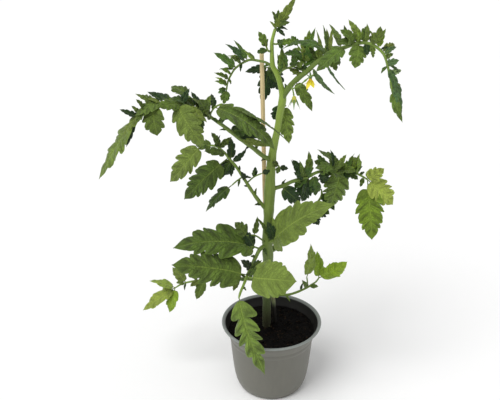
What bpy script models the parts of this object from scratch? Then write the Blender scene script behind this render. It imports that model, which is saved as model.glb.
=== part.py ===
"""A young tomato plant, staked with a thin cane, growing in a round nursery pot.

Metres, +Z up, front towards -Y. The origin is the centre of the pot's foot.
Routes of stems and stalks are lists of points in millimetres.
"""
import math

import bmesh
import bpy
import numpy as np

MM = 0.001

# Driving dimensions
POT_DIAMETER = 0.120
POT_HEIGHT = 0.088
POT_WALL = 0.0018
SOIL_DROP = 0.010
CANE_DIAMETER = 0.0046
BLADE_THICKNESS = 0.0008
SEAT_GAP = 0.0003
SOIL_GAP = 0.0005
HOLE_GAP = 0.0004
WELD_DISTANCE = 0.000002

# Pot details
POT_SEGMENTS = 36
FLOOR_THICKNESS = 0.0024
DRAIN_HOLES = 4
DRAIN_RADIUS = 0.0035
DRAIN_CIRCLE = 0.024
SOIL_ROUGHNESS = 0.0012

# Leaf details
STALK_SIDES = 5
STEM_SIDES = 8
LEAFLET_STALK = 0.12
LAST_PLACE = 0.98
LEAFLET_STALK_WIDTH = 0.0013
LOBE_PEAK = 0.68
LOBE_DEPTH = 0.38
BLADE_FOLD = 16
SWEEP_SHARE = 0.5
OUTLINE_PEAK = 0.401
TIP_WIDTH = 0.0008
FACING = np.array([0.0, -0.85, 0.53])

GREEN = (0.13, 0.22, 0.06)
DEEP_GREEN = (0.05, 0.11, 0.04)
STEM_GREEN = (0.21, 0.33, 0.08)
POT_GREY = (0.20, 0.19, 0.17)
SOIL_BROWN = (0.012, 0.010, 0.008)
CANE_TAN = (0.62, 0.50, 0.28)
PETAL_YELLOW = (0.80, 0.66, 0.06)

# Main stem and its left leader: x, y, z and radius
STEM_ROUTE = [
    (-6, 4, 45, 4.0), (-6, 4, 80, 4.6), (-6, 3, 98, 5.0), (-6, 2, 123, 4.8),
    (-6, 1, 150, 5.4), (-5, 0, 176, 6.0), (-6, 0, 203, 5.8), (-5, 0, 232, 5.5),
    (-4, 0, 262, 6.2), (-3, 0, 291, 5.2), (-1, 0, 313, 4.4), (4, 0, 341, 3.7),
    (6, 0, 357, 3.8), (9, 0, 378, 3.9), (6, 0, 394, 2.9), (2, 0, 406, 2.7),
    (-2, 0, 413, 2.6), (-3, 0, 428, 2.2), (-3, 0, 440, 1.9), (0, 0, 453, 1.6),
]

CANE_ROUTE = [
    (-14, 14, 424), (-11, 14, 309), (-9, 14, 240), (-4, 13, 170), (2, 12, 111), (5, 12, 45),
]

# Each leaf is a list of stalks, the main one first. A stalk has its route, its radius at
# both ends and its leaflets: place along the stalk, length, width, heading, pitch, turn
# and droop. Heading 0 points to +X and 270 to the front, pitch is the rise, turn rolls
# the blade about its own midrib, and droop is how far it arches. Millimetres and degrees.
LEAVES = {
    "leaf_upper_left": [
        {"route": [(-2, 0, 303), (-11, -7, 311), (-23, -13, 324), (-40, -21, 341),
                   (-58, -30, 360), (-74, -37, 374), (-87, -43, 383),
                   (-107, -50, 391), (-124, -56, 390), (-135, -59, 383),
                   (-144, -61, 374)],
         "radii": (2.7, 0.9),
         "leaflets": [
             (1.00, 79, 28, 188, -58, 50, 14), (0.86, 32, 26, 290, -66, 15, 30),
             (0.91, 16, 8, 215, 54, 40, 20), (0.85, 18, 12, 132, 14, -30, 30),
             (0.77, 30, 14, 142, 5, 55, 30), (0.73, 52, 30, 329, -52, 10, 36),
             (0.50, 34, 15, 205, 50, 45, 40), (0.53, 27, 18, 240, 58, 20, 30),
             (0.27, 32, 9, 352, -12, 30, 20), (0.35, 27, 14, 18, 2, 20, 30)]},
        {"route": [(-68, -34, 369), (-62, -37, 380), (-53, -40, 386)],
         "radii": (1.0, 0.9),
         "leaflets": [(0.98, 66, 32, 347, -37, -42, 56), (0.45, 20, 9, 100, 30, 20, 30)]},
        {"route": [(-74, -37, 374), (-84, -31, 385), (-90, -26, 389)],
         "radii": (0.9, 0.8),
         "leaflets": [(0.98, 25, 17, 142, 10, 35, 40), (0.70, 30, 15, 215, -8, 30, 30)]},
    ],
    "leaf_mid_left": [
        {"route": [(-7, 0, 241), (-19, -6, 260), (-34, -3, 284), (-42, 3, 294),
                   (-50, 9, 301), (-55, 13, 306), (-65, 19, 311),
                   (-83, 28, 308)],
         "radii": (2.4, 0.9),
         "leaflets": [
             (1.00, 58, 30, 189, -49, 10, 30), (0.86, 26, 15, 147, -7, -20, 30),
             (0.80, 21, 12, 203, 67, 35, 40), (0.80, 21, 10, 348, 43, 25, 30),
             (0.69, 63, 30, 199, -37, 15, 30), (0.70, 27, 13, 204, 18, 30, 30),
             (0.64, 29, 19, 119, -62, -15, 20), (0.63, 26, 13, 92, 55, 30, 40),
             (0.60, 24, 9, 350, 48, 30, 20), (0.40, 18, 8, 248, 55, 20, 20)]},
        {"route": [(-34, -3, 284), (-41, -2, 278), (-47, -2, 272)],
         "radii": (0.9, 0.8),
         "leaflets": [(0.98, 41, 21, 205, -40, 40, 24)]},
        {"route": [(-29, -4, 277), (-21, -9, 287), (-12, -12, 293)],
         "radii": (0.9, 0.8),
         "leaflets": [(0.98, 11, 8, 340, 30, 10, 20), (0.55, 11, 7, 80, 60, 10, 20)]},
    ],
    "leaf_mid_right": [
        {"route": [(-3, 0, 267), (12, 2, 271), (21, 6, 274), (37, 13, 276),
                   (49, 18, 280), (56, 21, 280), (75, 27, 279),
                   (94, 32, 273), (103, 34, 268), (111, 35, 262)],
         "radii": (2.5, 1.0),
         "leaflets": [
             (0.70, 47, 31, 150, -77, -5, 16), (0.38, 42, 21, 119, -69, 10, 20),
             (0.37, 29, 12, 90, 72, 30, 30), (0.36, 26, 12, 148, 39, 20, 30),
             (0.69, 36, 17, 149, 31, 40, 50), (0.68, 32, 19, 207, 20, 25, 40),
             (0.54, 24, 14, 102, -62, 0, 20), (0.75, 27, 20, 53, 16, 0, 30),
             (0.86, 31, 11, 264, 66, 40, 30), (0.82, 23, 9, 257, 72, 30, 20),
             (0.99, 38, 29, 346, -44, -10, 30), (0.96, 25, 18, 324, 45, 20, 30),
             (0.98, 66, 33, 294, -76, 15, 20), (0.93, 12, 7, 234, -59, 0, 20),
             (0.12, 30, 17, 31, -55, 0, 30)]},
    ],
    "leaf_centre_right": [
        {"route": [(-6, 0, 198), (-1, -7, 204), (6, -13, 211)],
         "radii": (2.4, 1.5),
         "leaflets": [
             (0.99, 85, 42, 342, 38, -30, 50), (0.66, 30, 14, 220, 70, 20, 30),
             (0.50, 40, 8, 204, 62, 20, 20)]},
    ],
    "leaf_behind_centre": [
        {"route": [(-5, 0, 184), (13, 12, 191), (34, 28, 211), (55, 40, 235),
                   (57, 44, 247)],
         "radii": (2.4, 1.0),
         "leaflets": [
             (0.80, 20, 14, 328, -23, 0, 30), (0.72, 20, 14, 314, -52, 0, 30),
             (0.99, 24, 12, 197, 24, 30, 50), (0.96, 27, 13, 340, -52, 10, 30)]},
    ],
    "leaf_front": [
        {"route": [(-6, 0, 196), (-14, -8, 194), (-18, -14, 189), (-21, -20, 185),
                   (-26, -28, 176), (-29, -36, 173), (-31, -46, 172), (-35, -58, 167),
                   (-37, -66, 163)],
         "radii": (2.5, 1.2),
         "leaflets": [
             (0.56, 90, 46, 194, 16, 12, 34), (0.98, 94, 34, 325, -68, 18, 24),
             (0.45, 22, 13, 221, 49, 10, 30), (0.47, 20, 9, 348, 47, 20, 30),
             (0.58, 20, 10, 330, 54, 20, 30)]},
        {"route": [(-29, -36, 173), (-22, -42, 176)],
         "radii": (1.1, 1.0),
         "lobing": 0.12,
         "leaflets": [(0.98, 53, 46, 338, 10, -10, 40)]},
        {"route": [(-14, -8, 194), (-21, -12, 199), (-27, -16, 203)],
         "radii": (1.1, 1.0),
         "leaflets": [(0.98, 86, 40, 191, 5, 36, 60), (0.50, 30, 15, 200, 60, 20, 30)]},
        {"route": [(-9, -5, 202), (-20, -10, 213), (-30, -18, 217)],
         "radii": (1.0, 0.8),
         "leaflets": [(0.98, 24, 17, 200, 55, 20, 30), (0.60, 22, 9, 60, 70, 10, 30)]},
    ],
    "leaf_lower_left": [
        {"route": [(-6, 1, 144), (-21, 6, 144), (-38, 12, 141), (-57, 18, 137),
                   (-75, 24, 132), (-95, 29, 126), (-110, 32, 120),
                   (-121, 33, 112)],
         "radii": (2.2, 0.9),
         "leaflets": [
             (0.99, 33, 16, 187, 21, 45, 30), (0.99, 50, 22, 191, -35, 35, 20),
             (0.98, 31, 18, 246, -59, 20, 20), (0.85, 25, 15, 151, 40, 20, 30),
             (0.87, 15, 8, 230, 27, 20, 20), (0.70, 15, 9, 223, -9, 10, 20),
             (0.65, 26, 14, 224, -59, 10, 20), (0.29, 16, 9, 240, -44, 10, 20)]},
    ],
    "leaf_lower_right": [
        {"route": [(-6, 2, 122), (9, 7, 122), (19, 12, 119), (30, 18, 119),
                   (42, 25, 121), (48, 29, 123), (54, 32, 126), (58, 35, 131)],
         "radii": (2.0, 0.9),
         "leaflets": [
             (0.97, 34, 17, 104, 72, 35, 24), (0.99, 44, 24, 346, 40, 35, 30),
             (0.72, 20, 8, 234, 56, 20, 20), (0.80, 12, 7, 318, 16, 20, 20)]},
        {"route": [(43, 26, 121), (43, 27, 129), (42, 28, 135)],
         "radii": (0.9, 0.8),
         "leaflets": [(0.98, 43, 20, 62, 79, 42, 30)]},
    ],
    "leaf_top_curl": [
        {"route": [(1, 0, 409), (-8, 3, 415), (-15, 6, 416), (-25, 13, 415),
                   (-31, 17, 412), (-37, 21, 407), (-43, 24, 401),
                   (-47, 26, 394), (-51, 27, 385), (-53, 27, 373)],
         "radii": (1.5, 0.9),
         "leaflets": [
             (0.30, 20, 10, 220, 41, 30, 40), (0.42, 26, 13, 156, 52, 30, 30),
             (0.46, 32, 16, 206, 45, 30, 40), (0.53, 20, 12, 225, 35, 20, 30),
             (0.63, 31, 18, 197, 38, 25, 30), (0.75, 18, 10, 221, 35, 30, 20),
             (0.82, 19, 11, 204, 29, 20, 30), (0.91, 17, 11, 211, 26, 20, 30),
             (0.99, 16, 14, 255, -52, 0, 20), (0.95, 14, 10, 151, -34, 0, 20)]},
    ],
    "leaf_behind_cane": [
        {"route": [(2, 0, 406), (0, 8, 407), (-3, 24, 403), (-7, 38, 398)],
         "radii": (1.4, 1.1),
         "leaflets": [
             (0.98, 41, 29, 200, -74, 0, 20), (0.94, 27, 18, 175, -14, 0, 30),
             (0.94, 30, 17, 30, -76, 0, 20)]},
    ],
    "leaf_behind_fork": [
        {"route": [(8, 0, 372), (10, 10, 366), (13, 16, 361)],
         "radii": (1.6, 1.1),
         "leaflets": [(0.98, 40, 21, 327, -79, 0, 20), (0.75, 22, 18, 168, -56, 0, 20)]},
    ],
    "leaf_top_right": [
        {"route": [(8, 0, 376), (18, -5, 394), (26, -9, 404), (33, -12, 411),
                   (43, -17, 423), (50, -21, 430), (61, -27, 439),
                   (73, -33, 446), (81, -36, 450), (88, -39, 452),
                   (95, -42, 452), (102, -45, 449), (108, -47, 444),
                   (111, -49, 438), (114, -50, 428), (117, -51, 416),
                   (119, -52, 403)],
         "radii": (3.2, 0.9),
         "leaflets": [
             (0.54, 40, 24, 209, -29, 22, 34), (0.51, 28, 13, 131, 49, 40, 30),
             (0.54, 22, 9, 111, 72, 30, 30), (0.57, 23, 13, 250, 59, 20, 40),
             (0.60, 19, 8, 80, 44, 30, 20), (0.61, 23, 11, 265, 59, 40, 30),
             (0.64, 18, 13, 65, 52, 0, 30), (0.68, 21, 10, 71, 15, 20, 30),
             (0.70, 24, 13, 303, 66, 30, 40), (0.62, 26, 19, 252, -59, 0, 30),
             (0.66, 13, 9, 278, -56, 10, 20), (0.76, 17, 11, 37, 17, 0, 40),
             (0.83, 15, 10, 322, 26, 10, 40), (0.88, 15, 8, 30, -1, 20, 30),
             (0.99, 29, 15, 329, -69, 20, 20), (0.91, 25, 14, 29, -55, 0, 20),
             (0.29, 38, 15, 323, -38, 50, 20), (0.39, 40, 13, 332, -51, 55, 20),
             (0.43, 19, 12, 309, -53, 0, 20), (0.15, 37, 16, 328, -52, -10, 20)]},
    ],
    "shoot_top_centre": [
        {"route": [(29, -10, 408), (31, -2, 410), (32, 6, 417), (30, 10, 423),
                   (24, 14, 431)],
         "radii": (1.4, 0.9),
         "leaflets": [
             (0.63, 27, 15, 211, 16, 30, 40), (0.40, 30, 14, 7, 36, 20, 30),
             (0.73, 26, 13, 25, 74, 30, 30), (0.55, 35, 9, 40, 67, 20, 20),
             (0.57, 23, 12, 309, 52, 20, 40), (0.95, 17, 10, 236, -45, 10, 20),
             (0.99, 13, 9, 145, 48, 0, 30)]},
    ],
    "shoot_leader_side": [
        {"route": [(3, 0, 402), (9, -4, 410), (14, -6, 413), (23, -7, 416)],
         "radii": (1.2, 0.9),
         "leaflets": [
             (0.99, 12, 8, 322, 30, 20, 30), (0.81, 18, 11, 288, 62, 20, 40),
             (0.60, 12, 8, 216, 55, 20, 30)]},
    ],
    "leaf_apex": [
        {"route": [(0.2, 0, 453.8), (1, 0, 456), (3, 0, 461)],
         "radii": (1.3, 0.9),
         "leaflets": [
             (0.98, 30, 14, 347, 57, 25, 24), (0.90, 13, 7, 84, 70, 20, 20),
             (0.70, 16, 7, 216, 66, 20, 20), (0.85, 15, 8, 329, 12, 20, 20)]},
    ],
    "leaf_leader_left": [
        {"route": [(-3, 0, 429), (-7, -4, 431), (-9, -5, 436)],
         "radii": (1.2, 0.9),
         "leaflets": [(0.98, 20, 12, 210, 62, 20, 24), (0.70, 12, 8, 165, -23, 0, 20)]},
    ],
    "leaf_leader_right": [
        {"route": [(-3, 0, 438), (1, -3, 438), (5, -4, 440)],
         "radii": (1.1, 0.9),
         "leaflets": [(0.98, 17, 9, 355, 12, 20, 30), (0.75, 14, 8, 300, 30, 20, 20)]},
    ],
    "shoot_axil": [
        {"route": [(-1, 0, 302), (4, -5, 300), (7, -7, 298)],
         "radii": (1.3, 0.9),
         "leaflets": [
             (0.98, 11, 8, 330, 5, 10, 20), (0.85, 10, 8, 200, 40, 10, 20),
             (0.90, 9, 7, 250, -40, 0, 20)]},
    ],
}
CARRIERS = {"shoot_top_centre": "leaf_top_right", "flower_truss": "leaf_top_right"}

TRUSS_STALKS = [
    [(19, -5, 394), (19, -14, 393), (25, -19, 398), (32, -22, 406), (36, -22, 408), (37, -20, 405)],
    [(19, -14, 393), (20, -17, 390), (21, -18, 384)],
]
TRUSS_RADIUS = 0.9
FLOWER_PLACE = (37.2, -19, 402.5)
PETALS = 5
PETAL_LENGTH = 8.0
PETAL_WIDTH = 4.4
BUD_PLACE = (21, -18, 382)
SEPALS = 5
RECEPTACLE_RADIUS = 1.6
RING_STEP = 0.00014


def remove_scene_objects():
    for item in list(bpy.data.objects):
        bpy.data.objects.remove(item, do_unlink=True)


def make_material(name, colour, roughness):
    material = bpy.data.materials.new(name)
    material.use_nodes = True
    shader = material.node_tree.nodes["Principled BSDF"]
    shader.inputs["Base Color"].default_value = (*colour, 1.0)
    shader.inputs["Roughness"].default_value = roughness
    shader.inputs["Metallic"].default_value = 0.0
    material.diffuse_color = (*colour, 1.0)
    return material


def add_object(name, shape, material, collection=None):
    """Adds one object from a (vertices, faces) pair."""
    vertices, faces = shape
    mesh = bpy.data.meshes.new(name)
    mesh.from_pydata([tuple(v) for v in vertices], [], faces)
    mesh.update()
    if material is not None:
        mesh.materials.append(material)
    item = bpy.data.objects.new(name, mesh)
    (collection or bpy.context.scene.collection).objects.link(item)
    return item


def smooth_route(points, steps):
    """Points along a Catmull-Rom curve through the given points, ends included."""
    points = np.asarray(points, float)
    padded = np.vstack([2 * points[0] - points[1], points, 2 * points[-1] - points[-2]])
    result = []
    for value in np.linspace(0, len(points) - 1, steps):
        index = min(int(value), len(points) - 2)
        t = value - index
        a, b, c, d = padded[index:index + 4]
        result.append(0.5 * (2 * b + (c - a) * t + (2 * a - 5 * b + 4 * c - d) * t ** 2
                             + (3 * b - a - 3 * c + d) * t ** 3))
    return np.array(result)


def unit(vector):
    return vector / np.linalg.norm(vector)


def tube(route, radii, sides):
    """A closed tube along a route, with a radius for each of its points."""
    route = np.asarray(route, float)
    tangents = np.gradient(route, axis=0)
    side = unit(np.cross(tangents[0], (0.31, 0.95, 0.05)))
    vertices = []
    for point, tangent, radius in zip(route, tangents, radii):
        tangent = unit(tangent)
        side = unit(side - tangent * np.dot(side, tangent))
        other = np.cross(tangent, side)
        for k in range(sides):
            angle = 2 * math.pi * k / sides
            vertices.append(point + radius * (math.cos(angle) * side + math.sin(angle) * other))
    faces = [tuple(reversed(range(sides)))]
    for row in range(len(route) - 1):
        for k in range(sides):
            a = row * sides + k
            b = row * sides + (k + 1) % sides
            faces.append((a, b, b + sides, a + sides))
    last = (len(route) - 1) * sides
    faces.append(tuple(range(last, last + sides)))
    return vertices, faces


def lobe_count(length):
    """Longer leaflets have more lobes on each side."""
    for count, least in ((4, 60), (3, 38), (2, 24)):
        if length >= least:
            return count
    return 1


def direction(heading, pitch):
    heading = math.radians(heading)
    pitch = math.radians(pitch)
    return np.array([math.cos(heading) * math.cos(pitch), math.sin(heading) * math.cos(pitch),
                     math.sin(pitch)])


def blade(base, leaflet, lobing):
    """A lobed, folded and drooping leaflet blade on its own short stalk."""
    _, length, width, heading, pitch, turn, droop = leaflet
    length = length * MM
    width = width * MM
    along = direction(heading, pitch)
    normal = unit(FACING - along * np.dot(FACING, along))
    side = np.cross(along, normal)
    roll = math.radians(turn)
    normal = math.cos(roll) * normal + math.sin(roll) * side
    side = np.cross(along, normal)
    droop = math.radians(droop)
    fold = math.radians(BLADE_FOLD)
    lobes = lobe_count(length / MM)
    places = [0.0] + [LEAFLET_STALK + (1 - LEAFLET_STALK) * u for u in blade_stations(lobes)]
    rows = []
    for place in places:
        bend = droop * (0.5 - place)
        reach = length * (math.sin(droop / 2) - math.sin(bend)) / (2 * math.sin(droop / 2))
        rise = length * (math.cos(bend) - math.cos(droop / 2)) / (2 * math.sin(droop / 2))
        middle = base + along * reach + normal * rise
        forward = math.cos(bend) * along + math.sin(bend) * normal
        upward = np.cross(side, forward)
        upward = -upward if np.dot(upward, normal) < 0 else upward
        half, sweep = blade_half_width(place, width, lobes, lobing)
        sweep = min(sweep, SWEEP_SHARE * (1 - place) * length)
        row = []
        for sign in (-1, 0, 1) if lobes > 1 else (-1, 1):
            outward = sign * math.cos(fold) * side + abs(sign) * math.sin(fold) * upward
            row.append((middle + half * outward + abs(sign) * sweep * forward, upward))
        rows.append(row)
    return close_blade(rows)


def blade_stations(lobes):
    """Where the blade is cut across: at its ends, and at each lobe's peak and notch."""
    if lobes == 1:
        return [0.0, 0.28, 0.62, 1.0]
    stations = [0.0]
    for k in range(lobes):
        stations += [(k + LOBE_PEAK) / lobes, (k + 1) / lobes]
    return stations


def blade_half_width(place, width, lobes, lobing):
    """Half the width at a place along the midrib, and how far forward the margin reaches."""
    if place <= LEAFLET_STALK:
        return LEAFLET_STALK_WIDTH / 2, 0.0
    u = (place - LEAFLET_STALK) / (1 - LEAFLET_STALK)
    if u >= 1:
        return TIP_WIDTH / 2, 0.0
    outline = u ** 0.5 * (1 - u) ** 0.9 / OUTLINE_PEAK
    tooth = (u * lobes) % 1.0
    peak = tooth / LOBE_PEAK if tooth <= LOBE_PEAK else (1 - tooth) / (1 - LOBE_PEAK)
    depth = lobing if lobes > 1 else 0.0
    half = width / 2 * outline * (1 - depth * (1 - peak))
    half = max(half, TIP_WIDTH / 2)
    vein_angle = math.radians(76 - 34 * u)
    return half, half / math.tan(vein_angle)


def close_blade(rows):
    """Gives a row-by-row surface its thickness, split alike on both faces."""
    offset = BLADE_THICKNESS / 2
    across = len(rows[0])
    vertices = []
    for row in rows:
        vertices += [point + upward * offset for point, upward in row]
        vertices += [point - upward * offset for point, upward in row]
    faces = []
    for k in range(len(rows) - 1):
        for j in range(across - 1):
            a = 2 * across * k + j
            b = a + 2 * across
            rising = 2 * j < across - 1
            halves = [(a, b, b + 1), (a, b + 1, a + 1)] if rising else [(a, b, a + 1), (a + 1, b, b + 1)]
            faces += halves
            faces += [tuple(corner + across for corner in reversed(half)) for half in halves]
        a = 2 * across * k
        b = a + 2 * across
        faces += [(a, a + across, b), (a + across, b + across, b)]
        a += across - 1
        b += across - 1
        faces += [(a, b, a + across), (a + across, b, b + across)]
    for j in range(across - 1):
        a = j
        faces += [(a, a + 1, a + across), (a + 1, a + across + 1, a + across)]
        a += 2 * across * (len(rows) - 1)
        faces += [(a, a + across, a + 1), (a + 1, a + across, a + across + 1)]
    return vertices, faces


def face_outwards(item):
    shape = bmesh.new()
    shape.from_mesh(item.data)
    bmesh.ops.recalc_face_normals(shape, faces=shape.faces)
    if shape.calc_volume(signed=True) < 0:
        bmesh.ops.reverse_faces(shape, faces=shape.faces)
    shape.to_mesh(item.data)
    shape.free()


def apply_boolean(item, operation, shapes, label):
    """Joins to, or cuts from, an object the closed shapes given, and applies the modifier."""
    helpers = bpy.data.collections.new(label)
    bpy.context.scene.collection.children.link(helpers)
    for index, shape in enumerate(shapes):
        helper = add_object(f"{label}_{index}", shape, None, helpers)
        helper.hide_render = True
        helper.display_type = "WIRE"
        face_outwards(helper)
    modifier = item.modifiers.new(label, "BOOLEAN")
    modifier.operation = operation
    modifier.operand_type = "COLLECTION"
    modifier.collection = helpers
    modifier.solver = "EXACT"
    graph = bpy.context.evaluated_depsgraph_get()
    result = bpy.data.meshes.new_from_object(item.evaluated_get(graph))
    item.modifiers.clear()
    item.data = result
    for helper in list(helpers.objects):
        bpy.data.objects.remove(helper, do_unlink=True)
    bpy.data.collections.remove(helpers)


def tidy_mesh(item, smooth_angle=40):
    """Welds points that lie in the same place and leaves triangles only."""
    shape = bmesh.new()
    shape.from_mesh(item.data)
    bmesh.ops.remove_doubles(shape, verts=shape.verts, dist=WELD_DISTANCE)
    bmesh.ops.dissolve_degenerate(shape, dist=WELD_DISTANCE, edges=shape.edges)
    bmesh.ops.triangulate(shape, faces=shape.faces)
    shape.to_mesh(item.data)
    shape.free()
    item.data.shade_smooth()
    item.data.set_sharp_from_angle(angle=math.radians(smooth_angle))


def turned_shape(profile, segments):
    """A solid turned about Z from a closed (radius, height) outline; radius 0 is the axis."""
    vertices = []
    rings = []
    for radius, height in profile:
        if radius == 0:
            rings.append([len(vertices)])
            vertices.append((0, 0, height))
            continue
        rings.append(list(range(len(vertices), len(vertices) + segments)))
        for k in range(segments):
            angle = 2 * math.pi * k / segments
            vertices.append((radius * math.cos(angle), radius * math.sin(angle), height))
    faces = []
    for lower, upper in zip(rings, rings[1:]):
        for k in range(segments):
            n = (k + 1) % segments
            corners = [lower[k % len(lower)], lower[n % len(lower)],
                       upper[n % len(upper)], upper[k % len(upper)]]
            faces.append(tuple(dict.fromkeys(corners)))
    return vertices, faces


def rod(x, y, bottom, top, radius, sides=16):
    return tube([(x, y, bottom), (x, y, top)], [radius, radius], sides)


def pot_outer_profile():
    """Foot, tapering body, flared collar with two creases and the rim's outer edge."""
    rim = POT_DIAMETER / 2
    top = POT_HEIGHT
    return [(rim * 0.600, 0.0), (rim * 0.640, top * 0.020), (rim * 0.665, top * 0.080),
            (rim * 0.805, top * 0.690), (rim * 0.835, top * 0.750),
            (rim * 0.935, top * 0.905), (rim * 0.950, top * 0.950), (rim * 0.985, top * 0.965),
            (rim, top * 0.980), (rim * 0.995, top * 0.996), (rim * 0.975, top)]


def inner_radius_at(height):
    """The pot's inside radius at a height, one wall inside its outer profile."""
    outer = pot_outer_profile()
    heights = [z for _, z in outer]
    radii = [r for r, _ in outer]
    return float(np.interp(height, heights, radii)) - POT_WALL


def make_pot(material):
    rim = POT_DIAMETER / 2
    top = POT_HEIGHT
    inner_heights = [top * 0.955, top * 0.900, top * 0.750, top * 0.690, top * 0.080]
    profile = [(0, 0.0)] + pot_outer_profile()
    profile += [(rim * 0.945, top * 0.998), (rim * 0.925, top * 0.985)]
    profile += [(min(inner_radius_at(z), rim * 0.915), z) for z in inner_heights]
    profile += [(inner_radius_at(FLOOR_THICKNESS), FLOOR_THICKNESS), (0, FLOOR_THICKNESS)]
    pot = add_object("pot", turned_shape(profile, POT_SEGMENTS), material)
    face_outwards(pot)
    holes = []
    for k in range(DRAIN_HOLES):
        angle = 2 * math.pi * (k + 0.5) / DRAIN_HOLES
        x = DRAIN_CIRCLE * math.cos(angle)
        y = DRAIN_CIRCLE * math.sin(angle)
        holes.append(rod(x, y, -0.002, FLOOR_THICKNESS + 0.002, DRAIN_RADIUS, 12))
    apply_boolean(pot, "DIFFERENCE", holes, "drain")
    tidy_mesh(pot)
    return pot


def make_soil(material):
    """The root ball: it fills the pot, and its top is a low, crumbly mound."""
    surface = POT_HEIGHT - SOIL_DROP
    bottom = FLOOR_THICKNESS + SOIL_GAP
    side_heights = [bottom, POT_HEIGHT * 0.080, POT_HEIGHT * 0.690, POT_HEIGHT * 0.750, surface]
    profile = [(0, bottom)]
    profile += [(inner_radius_at(z) - SOIL_GAP, z) for z in side_heights]
    edge = profile[-1][0]
    profile += [(edge * share, surface + 0.0015 * (1 - share ** 2)) for share in (0.8, 0.6, 0.4, 0.2)]
    profile += [(0, surface + 0.0015)]
    vertices, faces = turned_shape(profile, 36)
    rng = np.random.default_rng(7)
    crumbled = []
    for x, y, z in vertices:
        inside = math.hypot(x, y) < edge * 0.9 and z > surface - 0.001
        lift = SOIL_ROUGHNESS * rng.uniform(-1, 1) if inside else 0.0
        crumbled.append((x, y, z + lift))
    soil = add_object("soil", (crumbled, faces), material)
    face_outwards(soil)
    stem_foot = np.array(STEM_ROUTE[0][:3]) * MM
    cane_foot = np.array(CANE_ROUTE[-1]) * MM
    stem_hole = stem_tube(HOLE_GAP, 16, stem_foot[2] - SEAT_GAP)
    cane_hole = cane_tube(HOLE_GAP, 16, cane_foot[2] - SEAT_GAP)
    apply_boolean(soil, "DIFFERENCE", [stem_hole, cane_hole], "stem_holes")
    tidy_mesh(soil, 60)
    return soil


def lengthen_foot(route, bottom):
    """Moves the lowest point of a route down to a height, keeping its slope."""
    route = np.array(route, float)
    low = 0 if route[0][2] < route[-1][2] else -1
    route[low][2] = bottom
    return route


def stem_tube(clearance, sides, bottom=None):
    data = np.array(STEM_ROUTE, float) * MM
    steps = smooth_route(data, 2 * len(data) - 1)
    route = steps[:, :3]
    route[-1] += unit(route[-1] - route[-2]) * clearance
    if bottom is not None:
        route = lengthen_foot(route, bottom)
    return tube(route, steps[:, 3] + clearance, sides)


def cane_tube(clearance, sides, bottom=None):
    route = smooth_route(np.array(CANE_ROUTE, float) * MM, 10)
    if bottom is not None:
        route = lengthen_foot(route, bottom)
    radii = [CANE_DIAMETER / 2 + clearance] * len(route)
    return tube(route, radii, sides)


def make_stem(material):
    stem = add_object("main_stem", stem_tube(0.0, STEM_SIDES), material)
    face_outwards(stem)
    tidy_mesh(stem)
    return stem


def make_cane(material):
    cane = add_object("cane", cane_tube(0.0, 10), material)
    face_outwards(cane)
    tidy_mesh(cane)
    return cane


def stalk_route(stalk, step=13.0):
    """A stalk's smooth route and its radii, in metres, a point every thirteen millimetres or so."""
    points = np.array(stalk["route"], float)
    length = np.linalg.norm(np.diff(points, axis=0), axis=1).sum()
    count = max(3, round(length / step) + 1)
    route = smooth_route(points, 8 * count)
    places = np.r_[0, np.cumsum(np.linalg.norm(np.diff(route, axis=0), axis=1))]
    even = np.linspace(0, places[-1], count)
    route = np.stack([np.interp(even, places, route[:, k]) for k in range(3)], axis=1)
    start, end = stalk["radii"]
    shares = np.linspace(0, 1, count)
    radii = end + (start - end) * (1 - shares) ** 1.3
    return route * MM, radii * MM


def place_along(route, share):
    places = np.r_[0, np.cumsum(np.linalg.norm(np.diff(route, axis=0), axis=1))]
    where = share * places[-1]
    return np.array([np.interp(where, places, route[:, k]) for k in range(3)])


def carrier_tube(name):
    """The stem or stalk that carries a node, a seat's gap wider all round."""
    carrier = CARRIERS.get(name, "main_stem")
    if carrier == "main_stem":
        return stem_tube(SEAT_GAP, STEM_SIDES)
    route, radii = stalk_route(LEAVES[carrier][0])
    return tube(route, radii + SEAT_GAP, STALK_SIDES)


def make_leaf(name, stalks, material):
    """One compound leaf: its stalks and blades joined to one solid, cut back to its seat."""
    shapes = []
    for stalk in stalks:
        route, radii = stalk_route(stalk)
        shapes.append(tube(route, radii, STALK_SIDES))
        for leaflet in stalk["leaflets"]:
            base = place_along(route, min(leaflet[0], LAST_PLACE))
            shapes.append(blade(base, leaflet, stalk.get("lobing", LOBE_DEPTH)))
    item = add_object(name, shapes[0], material)
    face_outwards(item)
    apply_boolean(item, "UNION", shapes[1:], "leaflets")
    apply_boolean(item, "DIFFERENCE", [carrier_tube(name)], "seat")
    tidy_mesh(item)
    return item


def pointed_ring(centre, count, length, width, spread, tilt):
    """Petals or sepals about a hanging axis: each a narrow blade that turns back."""
    shapes = []
    centre = np.array(centre, float) * MM
    for k in range(count):
        heading = 360 * k / count + tilt + 5 * math.sin(3 * k)
        base = centre + np.array((0, 0, RING_STEP * k))
        shapes.append(simple_petal(base, heading, length * MM, width * MM, spread))
    return shapes


def simple_petal(centre, heading, length, width, spread):
    outward = direction(heading, 0)
    side = np.cross((0, 0, 1), outward)
    rows = []
    for place, half in ((0.0, 0.4), (0.5, 1.0), (1.0, 0.18)):
        lift = spread * place ** 2 - 0.35 * place
        middle = centre + outward * length * place + np.array((0, 0, lift * length))
        row = [(middle + sign * half * width / 2 * side, np.array((0, 0, 1.0)))
               for sign in (-1, 0, 1)]
        rows.append(row)
    return close_blade(rows)


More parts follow.
